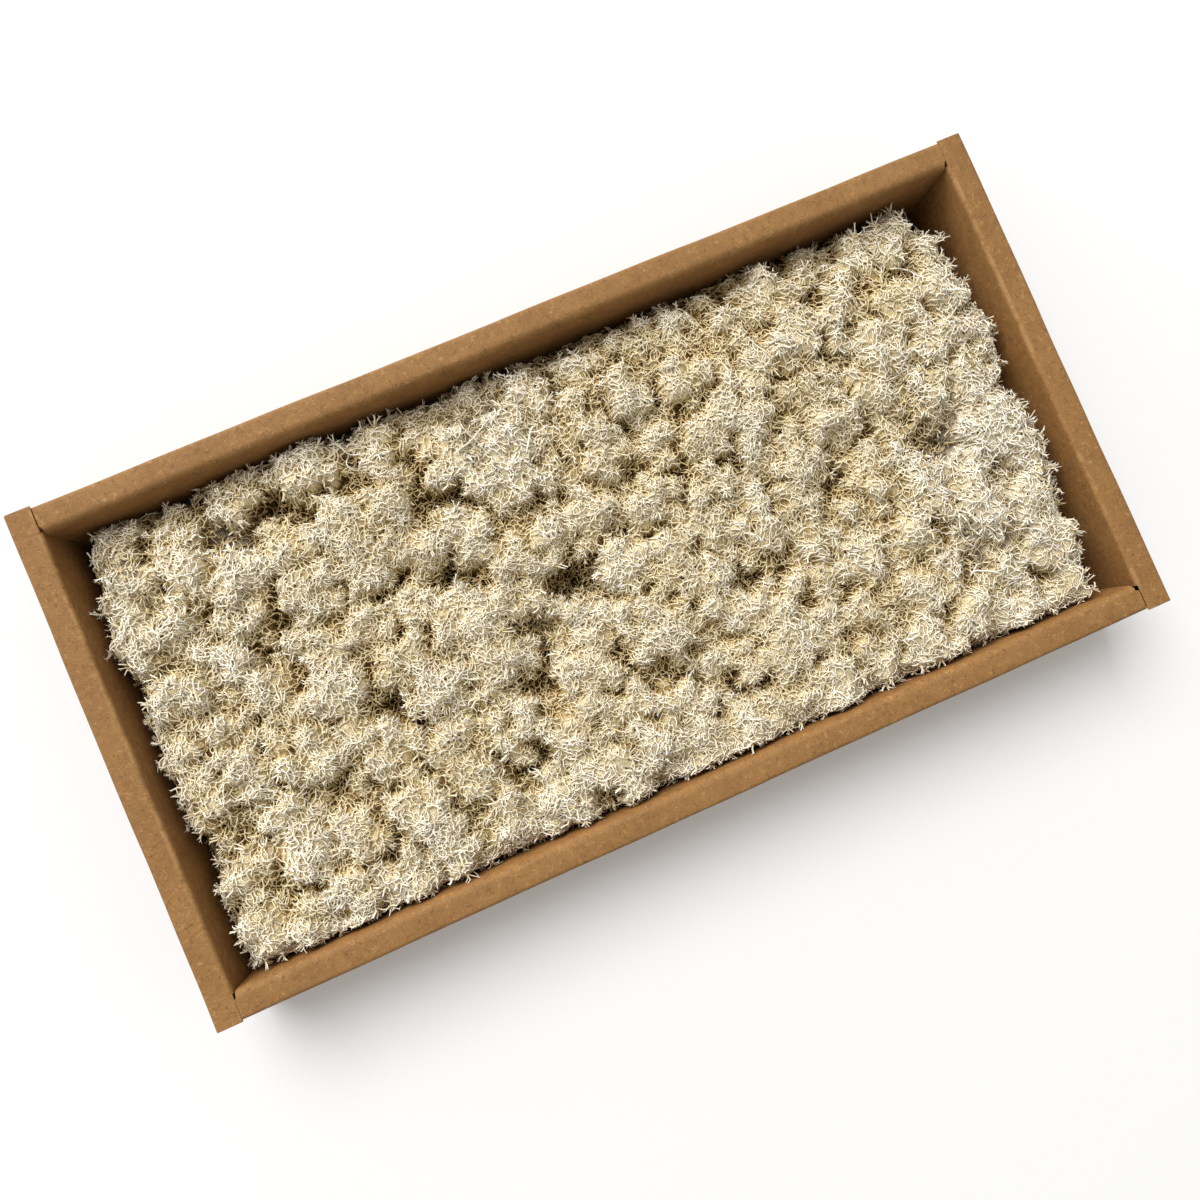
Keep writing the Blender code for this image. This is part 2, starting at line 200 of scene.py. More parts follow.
# The bed's heads, clump by clump, in millimetres: x, y and how far the head rises over the bed's level
bedHeads = (
    ((-129, 60, -3), (-111, 58, -2), (-92, 61, 1)),
    ((-70, 60, 1), (-50, 57, 0), (-34, 56, -1)),
    ((-18, 60, -4), (-3, 56, 0.5), (15, 57, 0.5)),
    ((32, 57, -1), (46, 55, -1), (58, 61, -3)),
    ((64, 50, 0), (77, 57, 0), (92, 58, -2)),
    ((107, 54, 0.5), (122, 58, -3), (131, 49, -3)),
    ((-131, 48, 1), (-133, 31, 0), (-119, 31, 0)),
    ((-112, 45, 1), (-98, 38, 0.5), (-104, 26, -1)),
    ((-81, 40, 0), (-66, 38, 0), (-51, 41, 0.5)),
    ((-29, 46, 1), (-11, 46, 1), (-20, 35, 0.5)),
    ((8, 43, 0), (25, 46, 0), (-2, 33, -1.5)),
    ((45, 42, 1), (62, 36, 0.5), (79, 39, 1)),
    ((96, 44, 1), (113, 37, 2), (129, 36, 0)),
    ((-111, 17, 0.5), (-128, 12, 0), (-105, 5, -0.5)),
    ((-82, 26, 1), (-66, 27, 1), (-50, 26, 0)),
    ((-33, 24, 0.5), (-25, 12, 0), (-12, 13, 1.5)),
    ((12, 27, 1), (28, 25, 0), (2, 14, 1)),
    ((43, 24, 2), (57, 22, 1), (51, 9, -1)),
    ((72, 24, 0), (86, 26, -1.5), (79, 14, 1)),
    ((101, 26, 1.5), (119, 23, 0.5), (134, 20, 1)),
    ((-85, 12, 0.5), (-70, 9, 0), (-84, -3, 0)),
    ((-55, 8, 0), (-45, -1, 2), (-63, -4, 1)),
    ((20, 11, 0), (36, 9, 0.5), (34, -3, 0)),
    ((65, 7, 0), (62, -5, -0.5), (48, -4, 0)),
    ((95, 14, 2.5), (110, 9, 0.5), (97, -1, 0)),
    ((125, 7, 1.5), (124, -7, 1), (134, -17, 0)),
    ((-133, -3, -1), (-117, -3, -1), (-133, -17, -0.5)),
    ((-99, -7, 0), (-100, -19, 0.5), (-117, -15, -0.5)),
    ((-57, -15, 0.5), (-41, -12, 1), (-27, 0, -1)),
    ((6, -3, 1), (19, -7, 1), (26, -16, 1)),
    ((-14, -14, -1), (-1, -16, 0), (11, -21, 1)),
    ((84, -5, 0.5), (95, -16, 1), (77, -15, -1)),
    ((-84, -17, 0), (-77, -27, -0.5), (-94, -28, -2)),
    ((47, -13, 0), (60, -17, -1), (55, -28, 0)),
    ((113, -19, -0.5), (108, -31, 2), (127, -33, 1)),
    ((-128, -27, -3), (-112, -29, -0.5), (-130, -42, 0)),
    ((-62, -30, 0), (-47, -24, -0.5), (-41, -35, 1), (-58, -43, 0)),
    ((-17, -27, 1), (-27, -36, -0.5), (4, -29, 0.5)),
    ((24, -28, 1), (39, -32, 0), (24, -42, -1)),
    ((72, -30, 1), (88, -29, -1), (67, -45, 0)),
    ((-112, -42, 0.5), (-96, -43, 1.5), (-77, -45, 2)),
    ((-30, -44, 1), (-10, -41, 0.5), (5, -47, 0)),
    ((40, -44, 0), (54, -42, 0)),
    ((81, -46, 0.5), (96, -42, 0)),
    ((109, -49, -0.5), (126, -46, 0), (127, -61, -1)),
    ((-132, -58, 0), (-116, -60, -0.5), (-102, -57, 0)),
    ((-88, -60, 0), (-72, -58, 1.5), (-55, -58, 1)),
    ((-38, -57, 0), (-22, -57, 1.5), (-7, -56, 1)),
    ((7, -60, -0.5), (22, -60, 0.5), (36, -58, 0)),
    ((49, -61, 0.5), (63, -58, -1), (80, -61, 0.5)),
    ((96, -58, 0.5), (112, -61, 0)),
)

# Dark pits between the heads: x, y, width and depth
bedPits = (
    (-97, 48, 5, 8), (-85, 51, 5, 6), (-73, 47, 4, 7), (7, 53, 4, 8), (-57, 52, 4, 5), (-33, 34, 3, 5),
    (-38, 24, 3, 5), (-45, 16, 6, 4), (16, 22, 4, 6), (20, 28, 3, 5), (63, 17, 4, 6), (46, 14, 5, 4),
    (3, 3, 4, 7), (-10, -3, 7, 8), (-23, -14, 4, 7), (-73, -13, 5, 7), (-42, -45, 5, 5), (-32, -33, 4, 5),
    (42, -22, 5, 6), (53, -19, 4, 4), (25, -3, 4, 5), (6, -39, 5, 5), (15, -49, 6, 6), (28, -47, 3, 7),
    (79, -2, 4, 6), (101, -6, 4, 4), (111, -10, 4, 6), (104, -43, 6, 4), (121, -56, 5, 6), (86, 27, 6, 3),
    (-72, -33, 4, 5), (-86, -36, 4, 3), (-132, -32, 6, 5), (-91, 17, 4, 4), (-117, 5, 3, 4), (76, -56, 4, 3),
    (56, -55, 4, 4), (24, -34, 4, 3), (70, 48, 3, 4), (-104, -14, 4, 3), (-96, -27, 5, 3), (40, -66, 4, 4),
)

# Where the moss is coarse and branchy (above 0) or fine and close (below 0): x, y, width, weight
coarsePlaces = (
    (-131, 48, 8, 0.8), (-15, 50, 14, 0.8), (-98, 53, 8, 0.6), (-66, 54, 6, 0.6), (112, 40, 13, 0.5),
    (118, -8, 14, 0.7), (110, -38, 14, 0.8), (-70, -32, 9, 0.8), (-128, -26, 8, 0.5), (62, -20, 9, 0.5),
    (92, -26, 9, 0.4), (20, -4, 8, 0.3), (-60, 44, 8, -0.6), (-44, 34, 8, -0.5), (30, 34, 9, -0.6),
    (58, 44, 9, -0.6), (46, 24, 8, -0.6), (-78, 14, 10, -0.6), (-58, 0, 9, -0.5), (-45, -14, 8, -0.3),
)

# Where it is white (above 0) or yellow (below 0)
whitePlaces = (
    (-131, 48, 8, 0.5), (-15, 50, 14, 0.4), (-98, 53, 7, 0.3), (118, -8, 18, 0.35), (110, -40, 14, 0.3),
    (-112, 16, 9, 0.2), (-62, 42, 9, -0.3), (12, 26, 9, -0.3), (43, 24, 7, -0.35), (45, 42, 7, -0.35),
    (62, 46, 7, -0.3), (-70, 5, 11, -0.2), (30, -40, 9, -0.15), (-20, -30, 8, -0.1),
)


def byPlace(places, x, y):
    total = np.zeros_like(x)
    for px, py, width, weight in places:
        total += weight * np.exp(-((x - px) ** 2 + (y - py) ** 2) / width**2)
    return total


bed = {
    "seed": 5,
    "step": 0.5,
    "middleLevel": 36.8,
    "edgeDrops": {"top": (7.5, 30.0), "bottom": (-1.6, 9.0), "left": (9.0, 15.0), "right": (7.0, 16.0)},
    "warp": 2.4,
    "warpLengths": (8, 26),
    "bend": 0.8,
    "bendLengths": (4, 9),
    "domeRadius": (9.4, 12.4),
    "domeReach": 0.95,
    "domeFall": 1.5,
    "domeSpread": 1.2,
    "domeSoft": 0.6,
    "pitShare": 0.8,
    "lumpCandidates": 12000,
    "lumpGap": (3.0, 6.2),
    "lumpRadius": (0.62, 0.80),
    "lumpSunk": (0.42, 0.80),
    "lumpStretch": (0.8, 1.25),
    "lumpFloor": 1.4,
    "lumpSoft": 0.4,
    "flatterAbove": 36.0,
    "flatterShare": 0.6,
    "leftEdge": (
        (-68, -139.5), (-55, -140.5), (-20, -141.5), (20, -141.5), (45, -141), (58, -138), (68, -136),
    ),
    "rightEdge": (
        (-68, 133), (-60, 135), (-45, 139), (-20, 141), (0, 141.5), (20, 141.5), (32, 139), (45, 138),
        (68, 135),
    ),
    "ragged": (0.7, 0.9),
    "edgeLengths": (5, 14),
    "longGap": 0.2,
    "wallGap": 0.4,
    "edgeFloor": 13.0,
    "edgeRound": 1.8,
    "coreSoft": 0.35,
    "bridge": (0.7, 0.3),
    "bridgeSoft": 1.2,
    # the painted shade: its level, how much darker the hollows are painted, random tone patches and the
    # walls' painted shadows
    "shadeLevel": 0.63,
    "fineShade": (2.0, 5.8),
    "broadShade": (8.0, 7.5),
    "patches": 0.18,
    "patchLengths": (14, 42),
    "wallShade": {"top": (0.49, 27.0), "left": (0.72, 17.0), "right": (0.20, 13.0)},
}


class Surface:
    # Heights over a grid of places, read in between
    def __init__(self, step):
        self.step = step
        self.x0 = -tray["length"] / 2
        self.y0 = -tray["width"] / 2
        self.x = np.arange(self.x0, -self.x0 + step / 2, step)
        self.y = np.arange(self.y0, -self.y0 + step / 2, step)
        self.px, self.py = np.meshgrid(self.x, self.y)
        self.z = np.zeros_like(self.px)

    def raiseTo(self, cx, cy, reach, heights):
        # takes the higher of what is there and heights(dx, dy) round a place
        i0, i1 = np.searchsorted(self.x, (cx - reach, cx + reach))
        j0, j1 = np.searchsorted(self.y, (cy - reach, cy + reach))
        self.part = (slice(j0, j1), slice(i0, i1))
        here = self.z[self.part]
        np.maximum(here, heights(self.px[self.part] - cx, self.py[self.part] - cy), out=here)

    def at(self, x, y, field=None):
        field = self.z if field is None else field
        u = np.clip((x - self.x0) / self.step, 0, len(self.x) - 1.001)
        v = np.clip((y - self.y0) / self.step, 0, len(self.y) - 1.001)
        i, j = u.astype(int), v.astype(int)
        a, b = u - i, v - j
        low = field[j, i] * (1 - a) + field[j, i + 1] * a
        high = field[j + 1, i] * (1 - a) + field[j + 1, i + 1] * a
        return low * (1 - b) + high * b

    def under(self, spots, field=None):
        return self.at(spots[..., 0], spots[..., 1], field)

    def wavy(self, draw, lengths):
        return waves(draw, self.px, self.py, *lengths)


def waves(draw, px, py, shortest, longest, count=18):
    # smooth noise of about -1 to 1 from plane waves
    total = np.zeros_like(px)
    for _ in range(count):
        length = draw.uniform(shortest, longest)
        angle = draw.uniform(0, 2 * math.pi)
        phase = draw.uniform(0, 2 * math.pi)
        total += np.sin((px * math.cos(angle) + py * math.sin(angle)) * 2 * math.pi / length + phase)
    return total / math.sqrt(count / 2) / 1.5


def soften(field, width):
    # a soft average over about a width in millimetres
    down = np.fft.fftfreq(field.shape[0], bed["step"])[:, None]
    across = np.fft.rfftfreq(field.shape[1], bed["step"])[None]
    weight = np.exp(-2 * (math.pi * width) ** 2 * (down**2 + across**2))
    return np.fft.irfft2(np.fft.rfft2(field) * weight, s=field.shape)


def treeOf(places):
    tree = KDTree(len(places))
    for number, place in enumerate(places):
        tree.insert(place, number)
    tree.balance()
    return tree


def scatter(draw, points, gaps):
    # keeps points in a drawn order, each at least its own gap from those kept
    if points.shape[1] == 2:  # flat places get a height of 0
        points = np.column_stack([points, np.zeros(len(points))])
    tree = treeOf(points)
    free = np.ones(len(points), bool)
    kept = []
    for number in draw.permutation(len(points)):
        if not free[number]:
            continue
        kept.append(number)
        for _, other, _ in tree.find_range(points[number], gaps[number]):
            free[other] = False
    return np.array(kept)


def spotsIn(draw, reaches, count):
    return np.stack([draw.uniform(-reach, reach, count) for reach in reaches], 1)


def raiseDomes(draw, land, px, py, level):
    # the heads as domes over the level, with the pits sunk between them
    land.z -= 60
    for clump in bedHeads:
        for x, y, up in clump:
            radius = draw.uniform(*bed["domeRadius"])
            reach = bed["domeReach"] * radius
            away = np.hypot(px - x, py - y)
            dome = np.sqrt(np.clip(radius**2 - np.minimum(away, reach) ** 2, 0, None)) - radius
            dome -= np.clip(away - reach, 0, None) * bed["domeFall"]
            land.z = np.maximum(land.z, dome + up + draw.uniform(-1, 1) * bed["domeSpread"])
    land.z += level
    for x, y, wide, deep in bedPits:
        away = np.hypot(px - x, py - y)
        land.z -= bed["pitShare"] * deep * np.exp(-((away / wide) ** 2))
    land.z = soften(land.z, bed["domeSoft"])


def raiseLumps(draw, land, reaches, bendX, bendY):
    # lumps over the domes, so that no place is smooth
    base = land.z.copy()
    spots = spotsIn(draw, reaches, bed["lumpCandidates"])
    spots = spots[land.under(spots, land.inside) > 0.8]
    gaps = draw.uniform(*bed["lumpGap"], len(spots))
    keep = scatter(draw, spots, gaps)
    land.z -= bed["lumpFloor"]
    land.lumps = []
    for (x, y), gap in zip(spots[keep], gaps[keep]):
        r = gap * draw.uniform(*bed["lumpRadius"])
        top = float(land.at(np.array([x]), np.array([y]), base)[0])
        centre = top - r * draw.uniform(*bed["lumpSunk"])
        stretch = draw.uniform(*bed["lumpStretch"])
        turn = draw.uniform(0, math.pi)
        c, s = math.cos(turn), math.sin(turn)

        def heights(dx, dy):
            dx = dx + bendX[land.part]
            dy = dy + bendY[land.part]
            a = (dx * c + dy * s) * stretch
            b = (dy * c - dx * s) / stretch
            return centre + np.sqrt(np.clip(r**2 - a**2 - b**2, 0, None)) - 50 * (a**2 + b**2 > r**2)

        land.raiseTo(x, y, r * 1.5, heights)
        land.lumps.append((x, y, r))


def makeBed():
    draw = np.random.default_rng(bed["seed"])
    land = Surface(bed["step"])
    warpX, warpY = (bed["warp"] * land.wavy(draw, bed["warpLengths"]) for _ in "xy")
    bendX, bendY = (bed["bend"] * land.wavy(draw, bed["bendLengths"]) for _ in "xy")

    halfX = tray["length"] / 2 - tray["rim"]
    halfY = tray["width"] / 2 - tray["rim"]
    inward = {"top": halfY - land.py, "bottom": halfY + land.py}
    inward.update(left=halfX + land.px, right=halfX - land.px)
    level = np.full_like(land.px, bed["middleLevel"])
    for side, (drop, reach) in bed["edgeDrops"].items():
        level -= drop * np.clip(1 - inward[side] / reach, 0, 1) ** 2
    raiseDomes(draw, land, land.px + warpX, land.py + warpY, level)

    # how far each place lies inside the bed's ragged outline
    left = np.interp(land.py, *zip(*bed["leftEdge"]))
    right = np.interp(land.py, *zip(*bed["rightEdge"]))
    ends = np.minimum(land.px - left, right - land.px)
    land.inside = np.minimum(ends, halfY - bed["longGap"] - abs(land.py))
    least, more = bed["ragged"]  # more towards the right end
    ragged = least + more * np.clip((land.px - 100) / 30, 0, 1)
    land.inside += ragged * land.wavy(draw, bed["edgeLengths"])
    walls = np.minimum(halfX - bed["wallGap"] - abs(land.px), halfY - bed["wallGap"] - abs(land.py))
    land.inside = np.minimum(land.inside, walls)

    raiseLumps(draw, land, (halfX, halfY), bendX, bendY)
    land.z = soften(land.z, bed["lumpSoft"])
    high = bed["flatterAbove"]
    land.z = np.where(land.z > high, high + (land.z - high) * bed["flatterShare"], land.z)

    # how light each place is painted, from 0 to 1: lighter where the bed stands out and darker in its
    # hollows, partly the browner lower moss and partly painted shade, with tone patches at random; by a high
    # wall it is darker, a painted shadow of the wall
    land.shade = bed["shadeLevel"]
    for width, height in (bed["fineShade"], bed["broadShade"]):
        land.shade = land.shade + (land.z - soften(land.z, width)) / height
    land.shade += bed["patches"] * land.wavy(draw, bed["patchLengths"])
    for side, (dark, reach) in bed["wallShade"].items():
        land.shade -= dark * np.sqrt(np.clip(1 - inward[side] / reach, 0, 1))
    land.shade = np.clip(land.shade, 0, 1)

    share = np.clip(land.inside / bed["edgeRound"], 0, 1)
    roll = np.sqrt(np.clip(1 - (1 - share) ** 2, 0, 1))
    land.z = bed["edgeFloor"] + (land.z - bed["edgeFloor"]) * roll
    land.slopeY, land.slopeX = np.gradient(land.z, bed["step"])
    land.core = soften(land.z, bed["coreSoft"])
    own, soft = bed["bridge"]
    land.bridge = own * land.z + soft * soften(land.z, bed["bridgeSoft"])
    return land


land = makeBed()
headList = [(x, y, number) for number, clump in enumerate(bedHeads) for x, y, _ in clump]
headTree = treeOf([(x, y, 0) for x, y, _ in headList])
lumpTree = treeOf([(x, y, 0) for x, y, _ in land.lumps])
print("bed shaped:", len(headList), "heads,", len(land.lumps), "lumps")


def clumpOf(x, y):
    return headList[headTree.find((x, y, 0))[1]][2]


def ownersOf(spots):
    return np.array([clumpOf(x, y) for x, y in spots])


def nearest(tree, spots):
    return np.array([tree.find((x, y, 0))[0][:2] for x, y in spots])


def addMap(mesh, name, places):
    mesh.uv_layers.new(name=name).data.foreach_set("uv", places.astype(np.float32).ravel())


def meshFrom(name, points, faces):
    # a mesh from arrays: points in millimetres, faces as rows of corner numbers
    mesh = bpy.data.meshes.new(name)
    mesh.vertices.add(len(points))
    mesh.vertices.foreach_set("co", (points / 1000).astype(np.float32).ravel())
    sides = faces.shape[1]
    mesh.loops.add(faces.size)
    mesh.loops.foreach_set("vertex_index", faces.astype(np.int32).ravel())
    mesh.polygons.add(len(faces))
    mesh.polygons.foreach_set("loop_start", np.arange(0, faces.size, sides, dtype=np.int32))
    mesh.polygons.foreach_set("use_smooth", np.ones(len(faces), bool))
    mesh.update(calc_edges=True)
    return mesh


# Tufts: curved, forked strands that stand out of the bed
tufts = {
    "seed": 11,
    "candidates": 100000,
    "fineGap": (3.6, 4.6),
    "coarseGap": (3.2, 4.3),
    "spread": (141.4, 68.2),
    "gather": 0.45,
    "sizes": (0.75, 0.3),
    "taper": (1.1, 0.35),
    "ramp": (0.32, 0.68, 0.24),
    "walls": (141.6, 68.2),
    "top": 38.0,
    "topShare": 0.45,
}

fineTuft = {
    "depth": 0.45,
    "lean": 0.30,
    "strands": 5,
    "length": (1.6, 2.6),
    "width": (0.19, 0.26),
    "tilts": ((20, 55), (35, 80)),
    "swerve": (8, 35),
    "spike": (0.4, 0.8),
    "endFork": (25, 50),
    "fork": (45, 80),
}

coarseTuft = {
    "depth": 0.8,
    "lean": 0.32,
    "strands": 4,
    "length": (2.4, 4.0),
    "width": (0.23, 0.32),
    "tilts": ((15, 50), (40, 85)),
    "swerve": (15, 50),
    "spike": (0.6, 1.3),
    "endFork": (28, 55),
    "fork": (45, 80),
}

# How much yellower one place is than the next. The three sides of a strand differ a little too
tone = {
    "middle": 0.60,
    "wide": 0.12,
    "wideLengths": (18, 60),
    "small": 0.10,
    "smallLengths": (5, 12),
    "each": 0.04,
}
sideTones = np.array([-0.015, 0.0, 0.015])
upward = np.array([0.0, 0.0, 1.0])


def toneAt(draw, x, y):
    return tone["middle"] + tone["wide"] * waves(draw, x, y, *tone["wideLengths"])


def tintAt(draw, spots, small=False):
    x, y = spots[:, 0], spots[:, 1]
    tint = toneAt(draw, x, y)
    if small:
        tint = tint + tone["small"] * waves(draw, x, y, *tone["smallLengths"])
    tint = tint + tone["each"] * draw.normal(size=len(x))
    return np.clip(tint - byPlace(whitePlaces, x, y), 0.02, 0.98)


def coarseAt(spots):
    x, y = spots[..., 0], spots[..., 1]
    draw = np.random.default_rng(tufts["seed"])
    return 0.36 + 0.16 * waves(draw, x, y, 8, 30) + byPlace(coarsePlaces, x, y)


def unit(v):
    return v / np.maximum(np.linalg.norm(v, axis=-1, keepdims=True), 1e-9)


def crossAxes(axis):
    helper = np.where(abs(axis[..., 2:3]) < 0.9, upward, [1.0, 0.0, 0.0])
    side = unit(np.cross(axis, helper))
    return side, np.cross(axis, side)


def turned(axis, tilt, around):
    # axis tilted by an angle towards a way round it
    side, other = crossAxes(axis)
    way = side * np.cos(around)[..., None] + other * np.sin(around)[..., None]
    return unit(axis * np.cos(tilt)[..., None] + way * np.sin(tilt)[..., None])


def ringPoints(centre, axis, radius):
    side, other = crossAxes(axis)
    angles = np.array([0, 2, 4]) * math.pi / 3
    out = side[..., None, :] * np.cos(angles)[:, None] + other[..., None, :] * np.sin(angles)[:, None]
    return centre[..., None, :] + out * radius[..., None, None]


def eitherWay(draw, shape):
    return np.where(draw.uniform(0, 1, shape) < 0.5, -1.0, 1.0)


def drawAngle(draw, span, shape):
    # an angle in radians from a span in degrees
    return np.radians(draw.uniform(*span, shape))


def trimmed(points):
    # keeps strands off the walls and a little under the rims
    for axis, reach in enumerate(tufts["walls"]):
        points[..., axis] = np.clip(points[..., axis], -reach, reach)
    over = points[..., 2] - tufts["top"]
    points[..., 2] = np.where(over > 0, tufts["top"] + over * tufts["topShare"], points[..., 2])
    return points


def strandFaces(segments):
    # rings of three from the root out, then the end fork's two tips and a side tip for each inner ring
    faces = []
    for low in range(0, 3 * segments, 3):
        for a in range(3):
            b = (a + 1) % 3
            faces += [(low + a, low + b, low + b + 3), (low + a, low + b + 3, low + a + 3)]
    last = segments * 3
    tips = [(last + 3, last), (last + 4, last)] + [(last + 4 + ring, ring * 3) for ring in range(1, segments)]
    for tip, ring in tips:
        for a in range(3):
            faces.append((ring + a, ring + (a + 1) % 3, tip))
    return np.array(faces)


def repeated(faces, times, corners):
    return (faces[None] + corners * np.arange(times)[:, None, None]).reshape(-1, 3)


def placeTufts():
    draw = np.random.default_rng(tufts["seed"])
    count = tufts["candidates"]
    spots = spotsIn(draw, tufts["spread"], count)
    gx, gy = land.under(spots, land.slopeX), land.under(spots, land.slopeY)
    stretch = np.sqrt(1 + gx**2 + gy**2)
    keep = (draw.uniform(0, 3.0, count) < stretch) & (land.under(spots, land.inside) > 0.25)
    spots, gx, gy = spots[keep], gx[keep], gy[keep]
    points = np.column_stack([spots, land.under(spots)])
    normal = unit(np.stack([-gx, -gy, np.full_like(gx, 0.9)], 1))
    isCoarse = draw.uniform(0, 1, len(points)) < np.clip((coarseAt(points) - 0.2) * 2.2, 0.03, 0.95)
    coarseGaps, fineGaps = (draw.uniform(*tufts[name], len(points)) for name in ("coarseGap", "fineGap"))
    kept = scatter(draw, points, np.where(isCoarse, coarseGaps, fineGaps))
    return points[kept], normal[kept], isCoarse[kept]


def growTufts(draw, kind, top, normal, away, tint, shade):
    n, k = len(top), kind["strands"]
    segments = len(kind["tilts"])
    lean = unit(normal + kind["lean"] * draw.normal(size=(n, 3)))
    root = top - lean * kind["depth"]
    # strands spread all ways at a lump's middle and away from it further out
    side, other = crossAxes(lean)
    outward = np.arctan2((away * other).sum(1), (away * side).sum(1))
    spread = 2 * math.pi * (1 - tufts["gather"] * np.clip(np.linalg.norm(away, axis=1), 0, 1))[:, None]
    around = outward[:, None] + spread * (np.arange(k) - (k - 1) / 2) / k + draw.uniform(-0.5, 0.5, (n, k))
    axis = np.repeat(lean[:, None], k, 1)
    least, more = tufts["sizes"]
    size = (least + more * shade)[:, None]
    length = draw.uniform(*kind["length"], (n, k)) * size
    width = draw.uniform(*kind["width"], (n, k))
    bend = eitherWay(draw, (n, k))

    place = np.repeat(root[:, None], k, 1)
    places, ways = [place], []
    for tilts in kind["tilts"]:
        way = turned(axis, drawAngle(draw, tilts, (n, k)), around)
        place = place + way * (length / segments)[..., None]
        places.append(place)
        ways.append(way)
        around = around + bend * drawAngle(draw, kind["swerve"], (n, k))
        bend = -bend
    ringWays = [ways[0]] + [unit(a + b) for a, b in zip(ways, ways[1:])] + [ways[-1]]
    along = np.linspace(0, 0.82, segments + 1)
    wide, less = tufts["taper"]
    rings = [ringPoints(p, way, width * (wide - less * at)) for p, way, at in zip(places, ringWays, along)]

    def endSpike(turn):
        reach = draw.uniform(*kind["spike"], (n, k)) * size
        way = turned(ways[-1], drawAngle(draw, kind["endFork"], (n, k)), turn)
        return places[-1] + way * reach[..., None]

    turn = draw.uniform(0, 2 * math.pi, (n, k))
    tips = [endSpike(turn), endSpike(turn + math.pi + draw.uniform(-0.6, 0.6, (n, k)))]
    for ring in range(1, segments):
        # the side branch leaves to the side that the strand swerves away from
        across = unit(places[ring] - places[ring - 1] - (places[ring + 1] - places[ring]))
        tilt = drawAngle(draw, kind["fork"], (n, k))[..., None]
        way = unit(ways[ring - 1] * np.cos(tilt) + across * np.sin(tilt))
        tips.append(places[ring] + way * (draw.uniform(*kind["spike"], (n, k)) * size)[..., None])
    corners = 3 * (segments + 1)
    points = np.concatenate([np.stack(rings, 2).reshape(n, k, corners, 3), np.stack(tips, 2)], 2)
    count = corners + len(tips)
    # the place on the colour ramp: lighter towards the tips, darker at the roots and where the bed's painted
    # shade is low, partly the browner lower moss and partly painted shade
    alongAll = np.concatenate([np.repeat(along, 3), [1.0, 1.0], along[1:-1] + 0.25])
    side = np.concatenate([np.tile(sideTones, segments + 1), np.zeros(len(tips))])
    shadeHere = shade[:, None, None]
    least, more, lift = tufts["ramp"]
    u = np.broadcast_to(alongAll * (least + more * shadeHere) + lift * shadeHere, (n, k, count))
    v = np.broadcast_to(tint[:, None, None] + side, (n, k, count))
    uv = np.stack([u, v], -1).reshape(-1, 2)
    return trimmed(points.reshape(-1, 3)), repeated(strandFaces(segments), n * k, count), uv


# Runners: long strands that wander over the bed, in an open net or combed outwards
runners = {
    "seed": 31,
    "candidates": 60000,
    "spread": (141, 68),
    "step": 0.95,
    "hardestBend": 0.7,
    "margin": 0.6,
    "sunk": 0.15,
    "taper": (1.08, 0.38),
    "ramp": (0.28, 0.66),
}

netRunner = {
    "gap": (5.2, 8.0),
    "steps": (4, 7, 10),
    "width": (0.22, 0.32),
    "wander": 0.26,
    "lift": (0.15, 0.75),
    "spike": (0.35, 1.0),
    "branches": 0.32,
    "branchAngle": (40, 80),
}

# The florets' strands: a ring of them round each lump's middle, combed outwards
combRunner = {
    "spacing": 1.7,
    "starts": (0.2, 0.7),
    "steps": (2, 3),
    "closest": 0.40,
    "width": (0.17, 0.235),
    "wander": 0.34,
    "lift": (0.1, 0.7),
    "spike": (0.3, 0.65),
    "branches": 0.0,
    "branchAngle": (30, 50),
}

